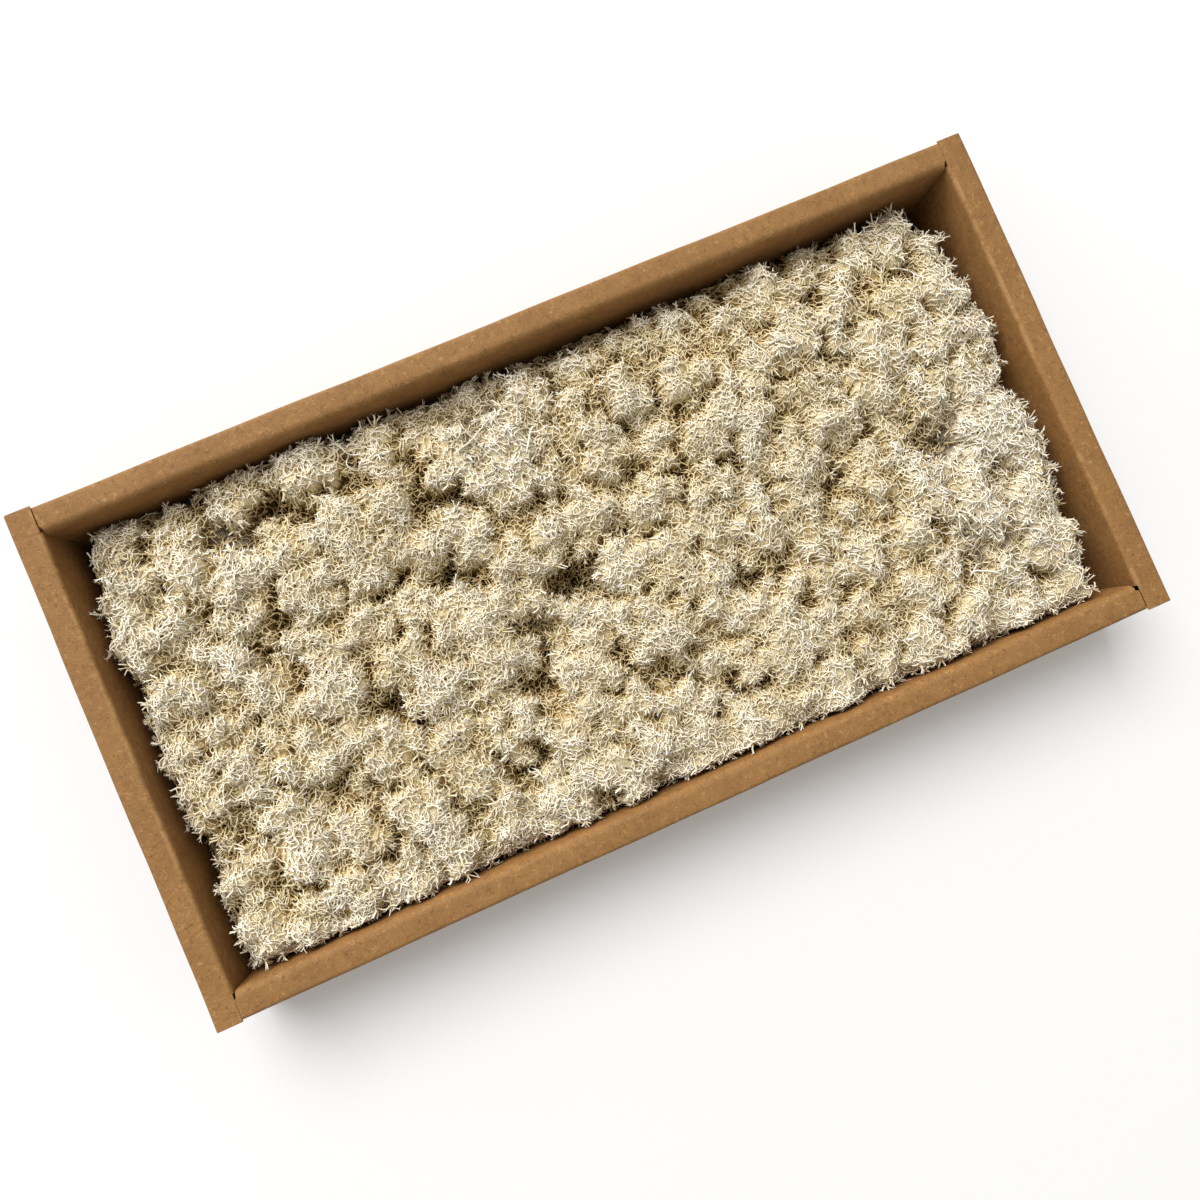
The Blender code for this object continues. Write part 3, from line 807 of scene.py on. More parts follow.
# Stout white branches that the photo shows over the bed: radius, then places as x, y and height over the bed
whiteBranches = (
    (0.40, (
        (126.0, 35.8, 0.3), (128.5, 34.6, 1.5), (131.2, 33.2, 2.1), (133.0, 31.4, 1.6), (133.2, 29.2, 0.4),
    )),
    (0.36, ((-58.8, 63.4, 0.6), (-57.6, 65.2, 1.9), (-56.6, 66.9, 3.0), (-55.9, 68.0, 4.0))),
    (0.34, ((-58.8, 63.4, 0.6), (-60.6, 63.7, 1.0), (-62.4, 64.6, 0.7))),
    (0.36, (
        (-59.0, 63.6, 0.6), (-57.8, 61.4, 1.2), (-56.6, 59.0, 1.2), (-54.2, 57.6, 1.0), (-51.6, 56.6, 0.4),
    )),
    (0.32, (
        (-56.6, 59.0, 1.1), (-58.2, 57.2, 1.2), (-57.6, 54.6, 0.9), (-55.2, 53.6, 0.7), (-53.6, 55.0, 0.4),
    )),
    (0.34, (
        (100.4, -18.6, 0.3), (102.4, -21.6, 1.0), (104.6, -24.6, 1.2), (107.0, -26.6, 0.8),
        (109.4, -27.6, 0.4),
    )),
    (0.32, ((102.6, -28.4, 0.5), (101.8, -31.0, 1.1), (101.4, -33.6, 0.7), (102.2, -35.4, 0.3))),
    (0.36, ((102.6, -28.4, 0.5), (104.0, -31.6, 1.2), (105.2, -34.8, 1.1), (107.4, -37.8, 0.5))),
    (0.32, ((103.0, -27.6, 0.5), (105.4, -30.0, 1.0), (107.0, -33.2, 0.8), (107.8, -35.6, 0.3))),
    (0.40, (
        (100.2, -47.2, 0.3), (101.2, -46.2, 1.2), (104.0, -47.4, 1.4), (107.2, -50.0, 1.0),
        (109.8, -52.6, 0.8), (112.4, -53.4, 0.3),
    )),
    (0.32, ((101.2, -46.2, 1.1), (102.4, -45.0, 1.2), (105.4, -45.0, 0.5))),
    (0.36, ((108.6, -47.4, 0.3), (111.8, -46.6, 1.1), (115.6, -46.4, 0.5))),
    (0.36, ((112.4, -46.6, 1.0), (113.8, -48.6, 1.3), (115.6, -49.8, 1.0), (117.8, -49.2, 0.4))),
    (0.36, (
        (115.4, -39.6, 0.3), (118.6, -40.0, 1.0), (121.4, -41.0, 1.3), (123.2, -43.2, 1.1),
        (124.2, -45.4, 0.4),
    )),
    (0.30, ((121.4, -41.0, 1.2), (120.8, -43.2, 0.9), (121.6, -45.4, 0.4))),
    (0.34, (
        (111.4, 47.0, 0.3), (114.0, 49.6, 1.0), (116.0, 52.4, 1.3), (119.0, 54.4, 1.2), (123.0, 56.4, 0.5),
    )),
    (0.30, ((114.4, 50.0, 1.0), (117.4, 51.4, 1.1), (120.4, 52.2, 0.4))),
    (0.30, ((116.4, 52.8, 1.2), (115.8, 55.0, 1.0), (116.6, 57.4, 0.3))),
    (0.34, ((116.6, 48.4, 0.3), (120.6, 46.6, 1.1), (123.0, 44.0, 0.9), (124.4, 41.8, 0.3))),
    (0.34, (
        (-28.2, 45.8, 0.3), (-24.6, 47.0, 0.9), (-21.2, 48.4, 1.3), (-18.4, 50.2, 1.1), (-15.2, 51.6, 0.4),
    )),
    (0.32, ((-21.2, 48.4, 1.2), (-20.2, 45.6, 1.0), (-19.4, 42.8, 0.3))),
    (0.30, ((-21.6, 48.6, 1.2), (-22.6, 51.2, 0.9), (-23.0, 53.6, 0.3))),
    (0.36, ((-3.8, 45.0, 0.3), (-5.4, 43.6, 1.1), (-6.8, 41.2, 1.2), (-8.6, 38.4, 0.5))),
    (0.32, ((-5.2, 43.6, 1.0), (-2.4, 42.8, 1.0), (-0.2, 43.6, 0.3))),
)


def walkOver(draw, kind, start, heading, steps):
    # paths over the bed, all with the same number of steps
    bend = draw.normal(size=len(start)) * kind["wander"]
    spots, headings = [start], [heading]
    for _ in range(steps):
        bend = 0.7 * bend + kind["wander"] * draw.normal(size=len(start))
        bend = np.clip(bend, -runners["hardestBend"], runners["hardestBend"])
        heading = heading + bend * runners["step"]
        way = np.stack([np.cos(heading), np.sin(heading)], 1)
        slope = land.under(spots[-1], land.slopeX) * way[:, 0]
        slope += land.under(spots[-1], land.slopeY) * way[:, 1]
        reach = runners["step"] / np.sqrt(1 + np.clip(slope, -1.5, 1.5) ** 2)
        spots.append(spots[-1] + way * reach[:, None])
        headings.append(heading)
    spots, headings = np.stack(spots, 1), np.stack(headings, 1)
    return spots, headings, land.under(spots, land.inside).min(1) > runners["margin"]


def layStrands(draw, kind, spots, lift, width, tint, least=0.0):
    # forked strands along the paths, their tips and side spikes as on the tufts
    n, rings = spots.shape[:2]
    z = np.maximum(land.under(spots, land.bridge), land.under(spots) - runners["sunk"]) + lift
    lines = np.concatenate([spots, z[..., None]], -1)
    ways = unit(np.gradient(lines, axis=1))
    along = np.linspace(0, 0.9, rings)
    wide, less = runners["taper"]
    body = ringPoints(lines, ways, width[:, None] * (wide - less * along))
    shade = np.maximum(land.under(spots, land.shade), least)

    def spike(ring, tilts, sign):
        tilt = drawAngle(draw, tilts, n)
        way = ways[:, ring]
        across = unit(np.cross(upward, way)) * sign[:, None]
        across[:, 2] += draw.uniform(-0.2, 0.5, n)
        reach = draw.uniform(*kind["spike"], n)[:, None]
        return lines[:, ring] + (way * np.cos(tilt)[:, None] + across * np.sin(tilt)[:, None]) * reach

    sign = eitherWay(draw, n)
    tips = [spike(rings - 1, (15, 50), sign), spike(rings - 1, (15, 50), -sign)]
    for ring in range(1, rings - 1):
        sign = eitherWay(draw, n)
        tips.append(spike(ring, (40, 85), sign))
    points = np.concatenate([body.reshape(n, 3 * rings, 3), np.stack(tips, 1)], 1)
    # the place on the colour ramp follows the bed's painted shade and grows lighter towards the tips: partly
    # the browner lower moss and partly painted shade
    least, more = runners["ramp"]
    depth = (least + more * shade) * (0.80 + 0.2 * along) + 0.04
    end = depth[:, -1:] + 0.05
    depth = np.concatenate([np.repeat(depth, 3, 1), end, end, depth[:, 1:-1] + 0.07], 1)
    side = np.concatenate([np.tile(sideTones, rings), np.zeros(len(tips))])
    uv = np.stack([depth, np.broadcast_to(tint[:, None] + side, depth.shape)], -1)
    return trimmed(points), uv, strandFaces(rings - 1)


def growRunners(draw, kind, start, heading, tint):
    # runners of a few lengths and, on the open ones, their branches
    grown = []
    lengths = draw.choice(kind["steps"], len(start))
    for steps in kind["steps"]:
        those = lengths == steps
        spots, headings, inside = walkOver(draw, kind, start[those], heading[those], steps)
        spots, headings, hue = spots[inside], headings[inside], tint[those][inside]
        n = len(spots)
        along = np.linspace(0, 1, steps + 1)
        high = draw.uniform(*kind["lift"], n)[:, None]
        ends = draw.uniform(-0.2, 0.8, n)[:, None]
        arch = np.sin(math.pi * along) ** 0.7 * (1 - 0.5 * along)
        lift = high * (arch + along**2 * ends) - 0.45 * (1 - along) ** 4
        width = draw.uniform(*kind["width"], n)
        owner = ownersOf(spots[:, steps // 2])
        grown.append((owner, *layStrands(draw, kind, spots, lift, width, hue)))
        if kind["branches"] == 0 or n == 0:
            continue
        parent, ring = np.nonzero(draw.uniform(0, 1, (n, steps - 1)) < kind["branches"])
        ring = ring + 1
        turn = eitherWay(draw, len(parent)) * drawAngle(draw, kind["branchAngle"], len(parent))
        short = draw.uniform(0, 1, len(parent)) < 0.5
        for some, few in ((short, 2), (~short, 3)):
            p, r = parent[some], ring[some]
            side, _, inside = walkOver(draw, kind, spots[p, r], headings[p, r] + turn[some], few)
            p, r, side = p[inside], r[inside], side[inside]
            slope = draw.uniform(-0.25, 0.35, len(p))[:, None] * np.linspace(0, 1, few + 1)
            rise = np.repeat(lift[p, r][:, None], few + 1, 1) + slope
            grown.append((owner[p], *layStrands(draw, kind, side, rise, width[p] * 0.82, hue[p])))
    return grown


# The net: short branchlets that join in threes, with a tip standing out of most joins
net = {
    "seed": 41,
    "corner": (-142, -69),
    "size": (284, 138),
    "edge": 1.12,
    "warp": 1.1,
    "warpLengths": (4, 11),
    "jitter": 0.22,
    "leftOut": 0.10,
    "leftOutClose": 0.14,
    "width": (0.20, 0.28),
    "uneven": 0.22,
    "bow": (0.10, 0.30),
    "arch": (-0.10, 0.25),
    "overlap": 0.08,
    "sunk": 0.2,
    "ramp": (0.24, 0.66),
    "tips": 0.85,
    "tipLength": (0.45, 1.1),
    "tipWidth": (0.18, 0.25),
}


def makeNet():
    draw = np.random.default_rng(net["seed"])
    edge = net["edge"]
    # the corners of a honeycomb, which the waves and the jitter then pull out of order
    (left, near), (sizeX, sizeY) = net["corner"], net["size"]
    counts = int(sizeX / (0.866 * edge)), int(sizeY / (1.5 * edge))
    i, j = np.meshgrid(*(np.arange(count) for count in counts), indexing="ij")
    up = (i + j) % 2 == 0
    x = left + i * 0.866 * edge
    y = near + (j * 1.5 + np.where(up, 0.25, -0.25)) * edge
    warpX, warpY = (net["warp"] * waves(draw, x, y, *net["warpLengths"]) for _ in "xy")
    x = x + warpX + net["jitter"] * edge * draw.normal(size=x.shape)
    y = y + warpY + net["jitter"] * edge * draw.normal(size=x.shape)
    offset = np.clip(draw.normal(size=x.shape), -1.6, 1.6).ravel() * net["uneven"]
    spots = np.stack([x.ravel(), y.ravel()], 1)
    z = np.maximum(land.under(spots, land.bridge), land.under(spots) - net["sunk"]) + offset
    joins = np.column_stack([spots, z])
    # raised joins are painted lighter and sunk ones darker: painted shade on top of the bed's painted shade
    shade = land.under(spots, land.shade) + 0.35 * offset
    inside = land.under(spots, land.inside) > 0.4
    width = draw.uniform(*net["width"], len(spots))
    tint = tintAt(draw, spots)

    flat = np.arange(x.size).reshape(x.shape)
    along = np.stack([flat[:-1].ravel(), flat[1:].ravel()], 1)
    across = np.stack([flat[:, :-1][up[:, :-1]], flat[:, 1:][up[:, :-1]]], 1)
    pairs = np.concatenate([along, across])
    leftOut = np.where(coarseAt(spots) < combRunner["closest"], net["leftOutClose"], net["leftOut"])
    pairs = pairs[inside[pairs].all(1) & (draw.uniform(0, 1, len(pairs)) > leftOut[pairs[:, 0]])]
    start, end = pairs.T
    # each branchlet bows to one side
    way = unit(joins[end] - joins[start])
    bow = draw.uniform(*net["bow"], (len(pairs), 1)) * eitherWay(draw, (len(pairs), 1))
    middle = joins[pairs].mean(1) + unit(np.cross(upward, way)) * bow
    middle[:, 2] += draw.uniform(*net["arch"], len(pairs))
    first, last = joins[start] - way * net["overlap"], joins[end] + way * net["overlap"]
    lines = np.stack([first, middle, last], 1)
    ways = np.stack([unit(middle - first), way, unit(last - middle)], 1)
    wide = np.stack([width[start], width[pairs].mean(1) * 0.92, width[end]], 1)
    rings = ringPoints(lines, ways, wide).reshape(len(pairs), 9, 3)
    # the place on the colour ramp follows this painted shade: partly the browner lower moss and partly
    # painted shade
    least, more = net["ramp"]
    depth = least + more * np.stack([shade[start], shade[pairs].mean(1) + 0.05, shade[end]], 1)
    uv = np.stack([np.repeat(depth, 3, 1), tint[pairs[:, :1]] + np.tile(sideTones, 3)], -1)
    sides = np.array([(0, 1, 4), (0, 4, 3), (1, 2, 5), (1, 5, 4), (2, 0, 3), (2, 3, 5)])
    branchlets = (ownersOf(spots[start]), trimmed(rings), uv, np.concatenate([sides, sides + 3]))

    # tips lean out of the bed and away from their floret's middle
    some = np.flatnonzero(inside & (draw.uniform(0, 1, x.size) < net["tips"]))
    foot = joins[some]
    slope = -np.stack([land.under(foot, land.slopeX), land.under(foot, land.slopeY)], 1)
    lean = slope * 1.3 + 0.75 * draw.normal(size=(len(some), 2))
    lean = unit(np.column_stack([lean, draw.uniform(0.1, 1.0, len(some))]))
    reach = draw.uniform(*net["tipLength"], len(some))[:, None]
    ring = ringPoints(foot, lean, draw.uniform(*net["tipWidth"], len(some)))
    cones = np.concatenate([ring, (foot + lean * reach)[:, None]], 1)
    depth = (0.30 + more * shade[some])[:, None] + np.array([0.0, 0.0, 0.0, 0.14])
    uv = np.stack([depth, tint[some][:, None] + np.append(sideTones, 0.0)], -1)
    tips = (ownersOf(foot[:, :2]), trimmed(cones), uv, np.array([(0, 1, 3), (1, 2, 3), (2, 0, 3)]))
    print("net made:", len(pairs), "branchlets,", len(some), "tips")
    return [branchlets, tips]


def routeOf(places):
    # a smooth path through a branch's places, a point each step or so
    places = np.array(places, float)
    lengths = np.concatenate([[0], np.cumsum(np.linalg.norm(np.diff(places, axis=0), axis=1))])
    count = max(3, int(lengths[-1] / runners["step"]))
    slopes = np.gradient(places, lengths, axis=0)
    made = []
    for at in np.linspace(0, lengths[-1], count + 1):
        k = min(np.searchsorted(lengths, at, side="right") - 1, len(places) - 2)
        span = lengths[k + 1] - lengths[k]
        t = (at - lengths[k]) / span
        made.append(
            (2 * t**3 - 3 * t**2 + 1) * places[k] + (t**3 - 2 * t**2 + t) * span * slopes[k]
            + (3 * t**2 - 2 * t**3) * places[k + 1] + (t**3 - t**2) * span * slopes[k + 1]
        )
    return np.array(made)


whiteBranch = {"spike": (0.6, 1.6), "width": 0.86, "tint": 0.12, "leastShade": 0.9}


def growWhiteBranches(draw):
    grown = []
    for radius, places in whiteBranches:
        route = routeOf(places)[None]
        width, tint = np.array([radius * whiteBranch["width"]]), np.array([whiteBranch["tint"]])
        spots, lift = route[..., :2], route[..., 2]
        laid = layStrands(draw, whiteBranch, spots, lift, width, tint, whiteBranch["leastShade"])
        grown.append((ownersOf(route[:, route.shape[1] // 2, :2]), *laid))
    return grown


# The closed body under the strands, one for each clump, made of grid cells
core = {
    "step": 1.2,
    "corner": (-142.5, -69.0),
    "size": (285, 138),
    "walls": (141.2, 67.9),
    "sunk": 0.7,
    "foot": 1.0,
    "floretMap": 16.0,
}


def coreCells():
    step, (left, near), (sizeX, sizeY) = core["step"], core["corner"], core["size"]
    cells = {}
    for i in range(int(sizeX / step)):
        for j in range(int(sizeY / step)):
            x, y = left + (i + 0.5) * step, near + (j + 0.5) * step
            if land.at(np.array([x]), np.array([y]), land.inside)[0] > 0.2:
                cells.setdefault(clumpOf(x, y), []).append((i, j))
    return cells


def coreOf(name, cells):
    # the closed solid under one clump's tufts, from the grid cells that are its own
    number, places, faces = {}, [], []

    def corner(i, j, low):
        key = (i, j, low)
        if key not in number:
            number[key] = len(places)
            places.append(key)
        return number[key]

    inside = set(cells)
    for i, j in cells:
        square = ((i, j), (i + 1, j), (i + 1, j + 1), (i, j + 1))
        faces.append([corner(a, b, False) for a, b in square])
        for edge, (di, dj) in enumerate(((0, -1), (1, 0), (0, 1), (-1, 0))):
            if (i + di, j + dj) not in inside:
                a, b = square[edge], square[(edge + 1) % 4]
                faces.append([corner(*b, False), corner(*a, False), corner(*a, True), corner(*b, True)])
    keys, faces = np.array(places), np.array(faces)
    x, y = (
        np.clip(core["corner"][axis] + keys[:, axis] * core["step"], -reach, reach)
        for axis, reach in enumerate(core["walls"])
    )
    z = np.where(keys[:, 2], core["foot"], land.at(x, y, land.core) - core["sunk"])
    points = np.stack([x, y, z], 1)
    mesh = meshFrom(name, points, faces)
    tint = toneAt(np.random.default_rng(tufts["seed"] + 2), x, y) - byPlace(whitePlaces, x, y)
    # the bed's painted shade and the tint, for the body's colours
    relief = np.stack([np.clip(land.at(x, y, land.shade), 0.01, 0.99), np.clip(tint, 0.02, 0.98)], 1)
    addMap(mesh, "relief", relief[faces.ravel()])
    # each face knows its place round its own lump's middle, for the combed strands
    lump = nearest(lumpTree, points[faces].mean(1)[:, :2])
    addMap(mesh, "floret", (points[faces][:, :, :2] - lump[:, None]) / core["floretMap"] + 0.5)
    shell = bmesh.new()
    shell.from_mesh(mesh)
    openEdges = [edge for edge in shell.edges if len(edge.link_faces) == 1]
    bmesh.ops.holes_fill(shell, edges=openEdges, sides=0)
    shell.to_mesh(mesh)
    shell.free()
    return mesh


# Colours from the gaps' depths to the tips, by their place on the ramp. The dark low end is partly the
# browner lower moss and partly painted shade, as the place follows the bed's painted shade
mossTones = {
    "cream": (
        (0.0, (82, 57, 22)), (0.14, (146, 117, 67)), (0.32, (203, 180, 131)),
        (0.6, (222, 207, 171)), (0.85, (227, 216, 190)), (1.0, (232, 225, 208)),
    ),
    "grey": (
        (0.0, (84, 62, 30)), (0.14, (148, 123, 77)), (0.32, (203, 184, 143)),
        (0.6, (226, 217, 194)), (0.85, (237, 232, 217)), (1.0, (244, 241, 231)),
    ),
    "body": (
        (0.0, (66, 46, 18)), (0.2, (134, 104, 54)), (0.45, (204, 177, 120)),
        (0.7, (228, 207, 160)), (1.0, (236, 219, 180)),
    ),
    "bodyWhite": (238, 232, 214),
    # the painted holes' shade, darkest where the bed's painted shade is low
    "poreDark": (44, 30, 10),
    "poreLight": (120, 92, 48),
}


def mossFinish():
    look = Finish("paleLichen", {"Roughness": 0.9, "Specular IOR Level": 0.25})
    parts = look.split(look.map("OFBake"))
    cream, grey = (look.ramp(parts["X"], mossTones[name]) for name in ("cream", "grey"))
    look.feed("Base Color", look.mix(look.between(parts["Y"], 0.2, 0.8), grey, cream))
    return look.material


def underFinish():
    # the pale body that the strands stand out of: strands combed out from each floret's middle, with small
    # holes painted dark as painted shade; the body runs darker where the bed's painted shade is low, partly
    # the browner lower moss and partly painted shade
    look = Finish("lichenDepths", {"Roughness": 0.92, "Specular IOR Level": 0.2})
    place = look.add("ShaderNodeTexCoord")["Object"]
    relief = look.split(look.map("relief"))
    shade, tint = relief["X"], relief["Y"]
    swirl = look.noise(place, 380.0)
    bent = look.pushed(place, swirl["Color"], 0.0012)
    floret = look.split(look.map("floret"))
    across, up = ((floret[axis] - 0.5) * core["floretMap"] for axis in "XY")
    angle = look.add("ShaderNodeMath", {"operation": "ARCTAN2"}, {0: up, 1: across})[0]
    far = (across * across + up * up) ** 0.5
    ray, ring = angle * 3.6 + swirl["Fac"] * 5.0, far * 0.75 + swirl["Fac"] * 2.0
    combed = look.add("ShaderNodeCombineXYZ", {}, {0: ray, 1: ring, 2: 0.0})[0]
    comb = look.cells(combed, 1.0, dimensions="2D")["Distance"]
    some = look.split(look.cells(combed, 1.0, "F1", "2D")["Color"])["X"]
    web = look.cells(bent, 1100.0)["Distance"]
    shadedHoleCells = look.cells(bent, 620.0, "F1")
    chance = look.split(shadedHoleCells["Color"])["X"]
    strand = look.between(comb, 0.02, 0.16) * look.between(web, 0.0, 0.10, 0.55, 1.0)
    # painted shade: small dark holes, as the shade between the strands would show
    shadedHole = look.between(shadedHoleCells["Distance"], 0.30, 0.20) * look.between(chance, 0.55, 0.60)
    body = look.ramp(shade + strand * 0.22 + some * 0.10 - 0.16, mossTones["body"])
    white, dark, light = (fromScreen(*mossTones[name]) for name in ("bodyWhite", "poreDark", "poreLight"))
    whiter = look.mix(look.between(tint, 0.6, 0.1), body, look.mix(0.5, body, white))
    look.feed("Base Color", look.mix(shadedHole, whiter, look.mix(shade, dark, light)))
    look.feed("Normal", look.bump(strand - shadedHole * 0.8, 0.8, 0.0007))
    return look.material


def floretStarts(draw):
    # where the combed strands start round each lump's middle, and which way they lead
    starts, headings = [], []
    for x, y, r in land.lumps:
        for share in combRunner["starts"]:
            ring = max(share * r, 0.35)
            number = max(3, int(round(2 * math.pi * (ring + 0.5) / combRunner["spacing"])))
            turn = draw.uniform(0, 2 * math.pi)
            angles = turn + 2 * math.pi * (np.arange(number) + draw.uniform(-0.25, 0.25, number)) / number
            reach = ring * draw.uniform(0.8, 1.2, number)
            starts += [(x + far * math.cos(a), y + far * math.sin(a)) for far, a in zip(reach, angles)]
            headings += list(angles)
    starts = np.array(starts)
    headings = np.array(headings) + draw.normal(size=len(starts)) * 0.22
    kept = (land.under(starts, land.inside) > 0.4) & (coarseAt(starts) < combRunner["closest"])
    return starts[kept], headings[kept]


def growStrands():
    draw = np.random.default_rng(runners["seed"])
    spots = spotsIn(draw, runners["spread"], runners["candidates"])
    spots = spots[land.under(spots, land.inside) > runners["margin"]]
    spots = spots[draw.uniform(0, 1, len(spots)) < np.clip((coarseAt(spots) - 0.12) * 2.0, 0.05, 1.0)]
    spots = spots[scatter(draw, spots, draw.uniform(*netRunner["gap"], len(spots)))]
    hue = tintAt(draw, spots) - 0.08
    grown = growRunners(draw, netRunner, spots, draw.uniform(0, 2 * math.pi, len(spots)), hue)
    starts, headings = floretStarts(draw)
    grown += growRunners(draw, combRunner, starts, headings, tintAt(draw, starts))
    grown += growWhiteBranches(draw)
    grown += makeNet()
    print("runners laid:", len(spots), "floret strands:", len(starts), "white branches:", len(whiteBranches))
    return grown


def trianglesOf(mesh):
    return sum(len(face.vertices) - 2 for face in mesh.polygons)


def makeMoss():
    finish, under = mossFinish(), underFinish()
    draw = np.random.default_rng(tufts["seed"] + 1)
    top, normal, isCoarse = placeTufts()
    owner = ownersOf(top[:, :2])
    shade = land.under(top, land.shade)
    tint = tintAt(draw, top, small=True)
    lump, head = (nearest(tree, top[:, :2]) for tree in (lumpTree, headTree))
    away = np.zeros_like(top)
    away[:, :2] = 0.6 * (top[:, :2] - lump) / 2.2 + 0.4 * (top[:, :2] - head) / 5.0
    print("tufts placed:", len(top), "coarse:", int(isCoarse.sum()))
    grown = growStrands()
    cells = coreCells()

    total = 0
    for number in range(len(bedHeads)):
        points, faces, uv, start = [], [], [], 0
        for kind, those in ((fineTuft, ~isCoarse), (coarseTuft, isCoarse)):
            mine = (owner == number) & those
            made = growTufts(draw, kind, top[mine], normal[mine], away[mine], tint[mine], shade[mine])
            points.append(made[0])
            faces.append(made[1] + start)
            uv.append(made[2])
            start += len(made[0])
        for owners, places, maps, block in grown:
            mine = owners == number
            if not mine.any():
                continue
            points.append(places[mine].reshape(-1, 3))
            uv.append(maps[mine].reshape(-1, 2))
            faces.append(repeated(block, mine.sum(), places.shape[1]) + start)
            start += len(points[-1])
        faces = np.concatenate(faces)
        mesh = meshFrom("tufts", np.concatenate(points), faces)
        addMap(mesh, "OFBake", np.clip(np.concatenate(uv), 0.004, 0.996)[faces.ravel()])
        outer = addPiece(f"mossTufts{number + 1:02d}", mesh, finish)
        inner = addPiece(f"mossDepths{number + 1:02d}", coreOf("depths", cells[number]), under)
        for piece in (outer, inner):
            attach(piece, "root")
            total += trianglesOf(piece.data)
        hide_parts(f"moss_clump_{number + 1:02d}")
    print("moss grown:", total, "triangles")


addedPieces = []


def addPiece(name, mesh, finish):
    mesh.name = name
    made = bpy.data.objects.new(name, mesh)
    addedPieces.append(made)
    bpy.context.scene.collection.objects.link(made)
    mesh.materials.append(finish)
    return made


makeMoss()


# The tray's folded card, in millimetres. Tones: two of the body, the clouds, then light and dark fibres
card = {
    "seed": 3,
    "thickness": 0.6,
    "longSetIn": 0.4,
    "baseFold": 0.8,
    "outerFold": 0.9,
    "longInnerFold": 2.0,
    "endInnerFold": 0.9,
    "outerRows": (14, 27),
    "innerRows": (30, 20, 10, 0.95),
    "rimSeam": 142.25,
    "rimGap": 0.24,
    "torn": 0.35,
    "panelEnd": 141.45,
    "outerEnd": 148.9,
    "ragged": 0.22,
    "wave": 0.16,
    "waveShare": {"outer": 0.3, "rim": 1.0, "inner": 0.8},
    "sections": 3.2,
    "tones": ((128, 90, 43), (137, 98, 49), (119, 82, 38), (164, 124, 74), (92, 60, 26)),
    "edgeTones": ((158, 120, 72), (168, 130, 80), (150, 112, 66), (190, 154, 104), (120, 84, 44)),
}


def arc(centreOut, centreUp, radius, start, steps):
    angles = np.radians(start + 90 * np.arange(1, steps + 1) / steps)
    return [(centreOut + radius * math.cos(a), centreUp + radius * math.sin(a)) for a in angles]


def wallPath(outFace, innerFold, cut=None):
    # the middle line of a wall's card as (out, up), and which panel each point belongs to
    half = card["thickness"] / 2
    out = outFace - half
    inner = outFace - tray["rim"] + half
    low, high = half, tray["height"] - half
    base, over = card["baseFold"], card["outerFold"]
    path = [(out - base, low)] + arc(out - base, low + base, base, -90, 3)
    path += [(out, up) for up in card["outerRows"]] + [(out, high - over)]
    panels = ["outer"] * len(path)
    path += arc(out - over, high - over, over, 0, 4)
    if cut is not None:
        path += [(out - 4, high), (cut, high)]
        return np.array(path), panels + ["rim"] * (len(path) - len(panels))
    path += [(out - 3, high), (inner + innerFold + 1, high), (inner + innerFold, high)]
    panels += ["rim"] * (len(path) - len(panels))
    path += arc(inner + innerFold, high - innerFold, innerFold, 90, 6)
    path += [(inner, up) for up in card["innerRows"]]
    return np.array(path), panels + ["inner"] * (len(path) - len(panels))


def sheetMesh(shell, points, normals):
    # a closed sheet of card round a grid of places on its middle
    rows, columns = points.shape[:2]
    half = card["thickness"] / 2000
    front, back = (
        [[shell.verts.new(place) for place in row] for row in points / 1000 + way * half * normals]
        for way in (1, -1)
    )
    for i in range(rows - 1):
        for j in range(columns - 1):
            shell.faces.new((front[i][j], front[i + 1][j], front[i + 1][j + 1], front[i][j + 1]))
            shell.faces.new((back[i][j], back[i][j + 1], back[i + 1][j + 1], back[i + 1][j]))
    border = [(i, 0) for i in range(rows)] + [(rows - 1, j) for j in range(1, columns)]
    border += [(i, columns - 1) for i in range(rows - 2, -1, -1)]
    border += [(0, j) for j in range(columns - 2, 0, -1)]
    for (i, j), (k, m) in zip(border, border[1:] + border[:1]):
        edge = shell.faces.new((front[i][j], back[i][j], back[k][m], front[k][m]))
        edge.material_index = 1


def wallSheet(shell, draw, axis, sign, path, panels, starts, ends):
    # sweeps a path along a wall; starts and ends give each panel's reach along it
    tangent = np.gradient(path, axis=0)
    normal = unit(np.stack([tangent[:, 1], -tangent[:, 0]], 1))
    panels = np.array(panels)
    values = (starts, ends, card["waveShare"])
    first, last, free = (np.array([value[panel] for panel in panels]) for value in values)
    ragged = np.cumsum(draw.normal(size=len(path))) * card["ragged"] * (panels != "outer") * axis
    last = last + np.clip(ragged, -0.2, 0.1) * np.sign(last)
    if axis == 1 and sign < 0:
        # the near right corner is torn a little open
        torn = card["torn"] * (1 + draw.uniform(-0.5, 0.5, len(panels)))
        last = last - np.where(panels == "inner", torn, 0)
    first = first - np.clip(ragged[::-1], -0.1, 0.2) * np.sign(first) * (abs(first) > 70)
    count = max(3, int((last - first).max() / card["sections"]))
    along = first + (last - first) * np.linspace(0, 1, count)[:, None]
    wave = card["wave"] * (np.sin(along / 17 + sign * 2 + axis) + 0.5 * np.sin(along / 6.1 + axis * 3))
    free = free * np.clip(path[:, 1] / 30, 0, 1)
    points = np.zeros((count, len(path), 3))
    normals = np.zeros_like(points)
    points[..., axis] = sign * (path[:, 0] - wave * free * 0.7)
    points[..., 1 - axis] = along
    points[..., 2] = path[:, 1] - abs(wave) * free * 0.6 * (path[:, 1] > 36)
    normals[..., axis] = sign * normal[:, 0]
    normals[..., 2] = normal[:, 1]
    sheetMesh(shell, points, normals)


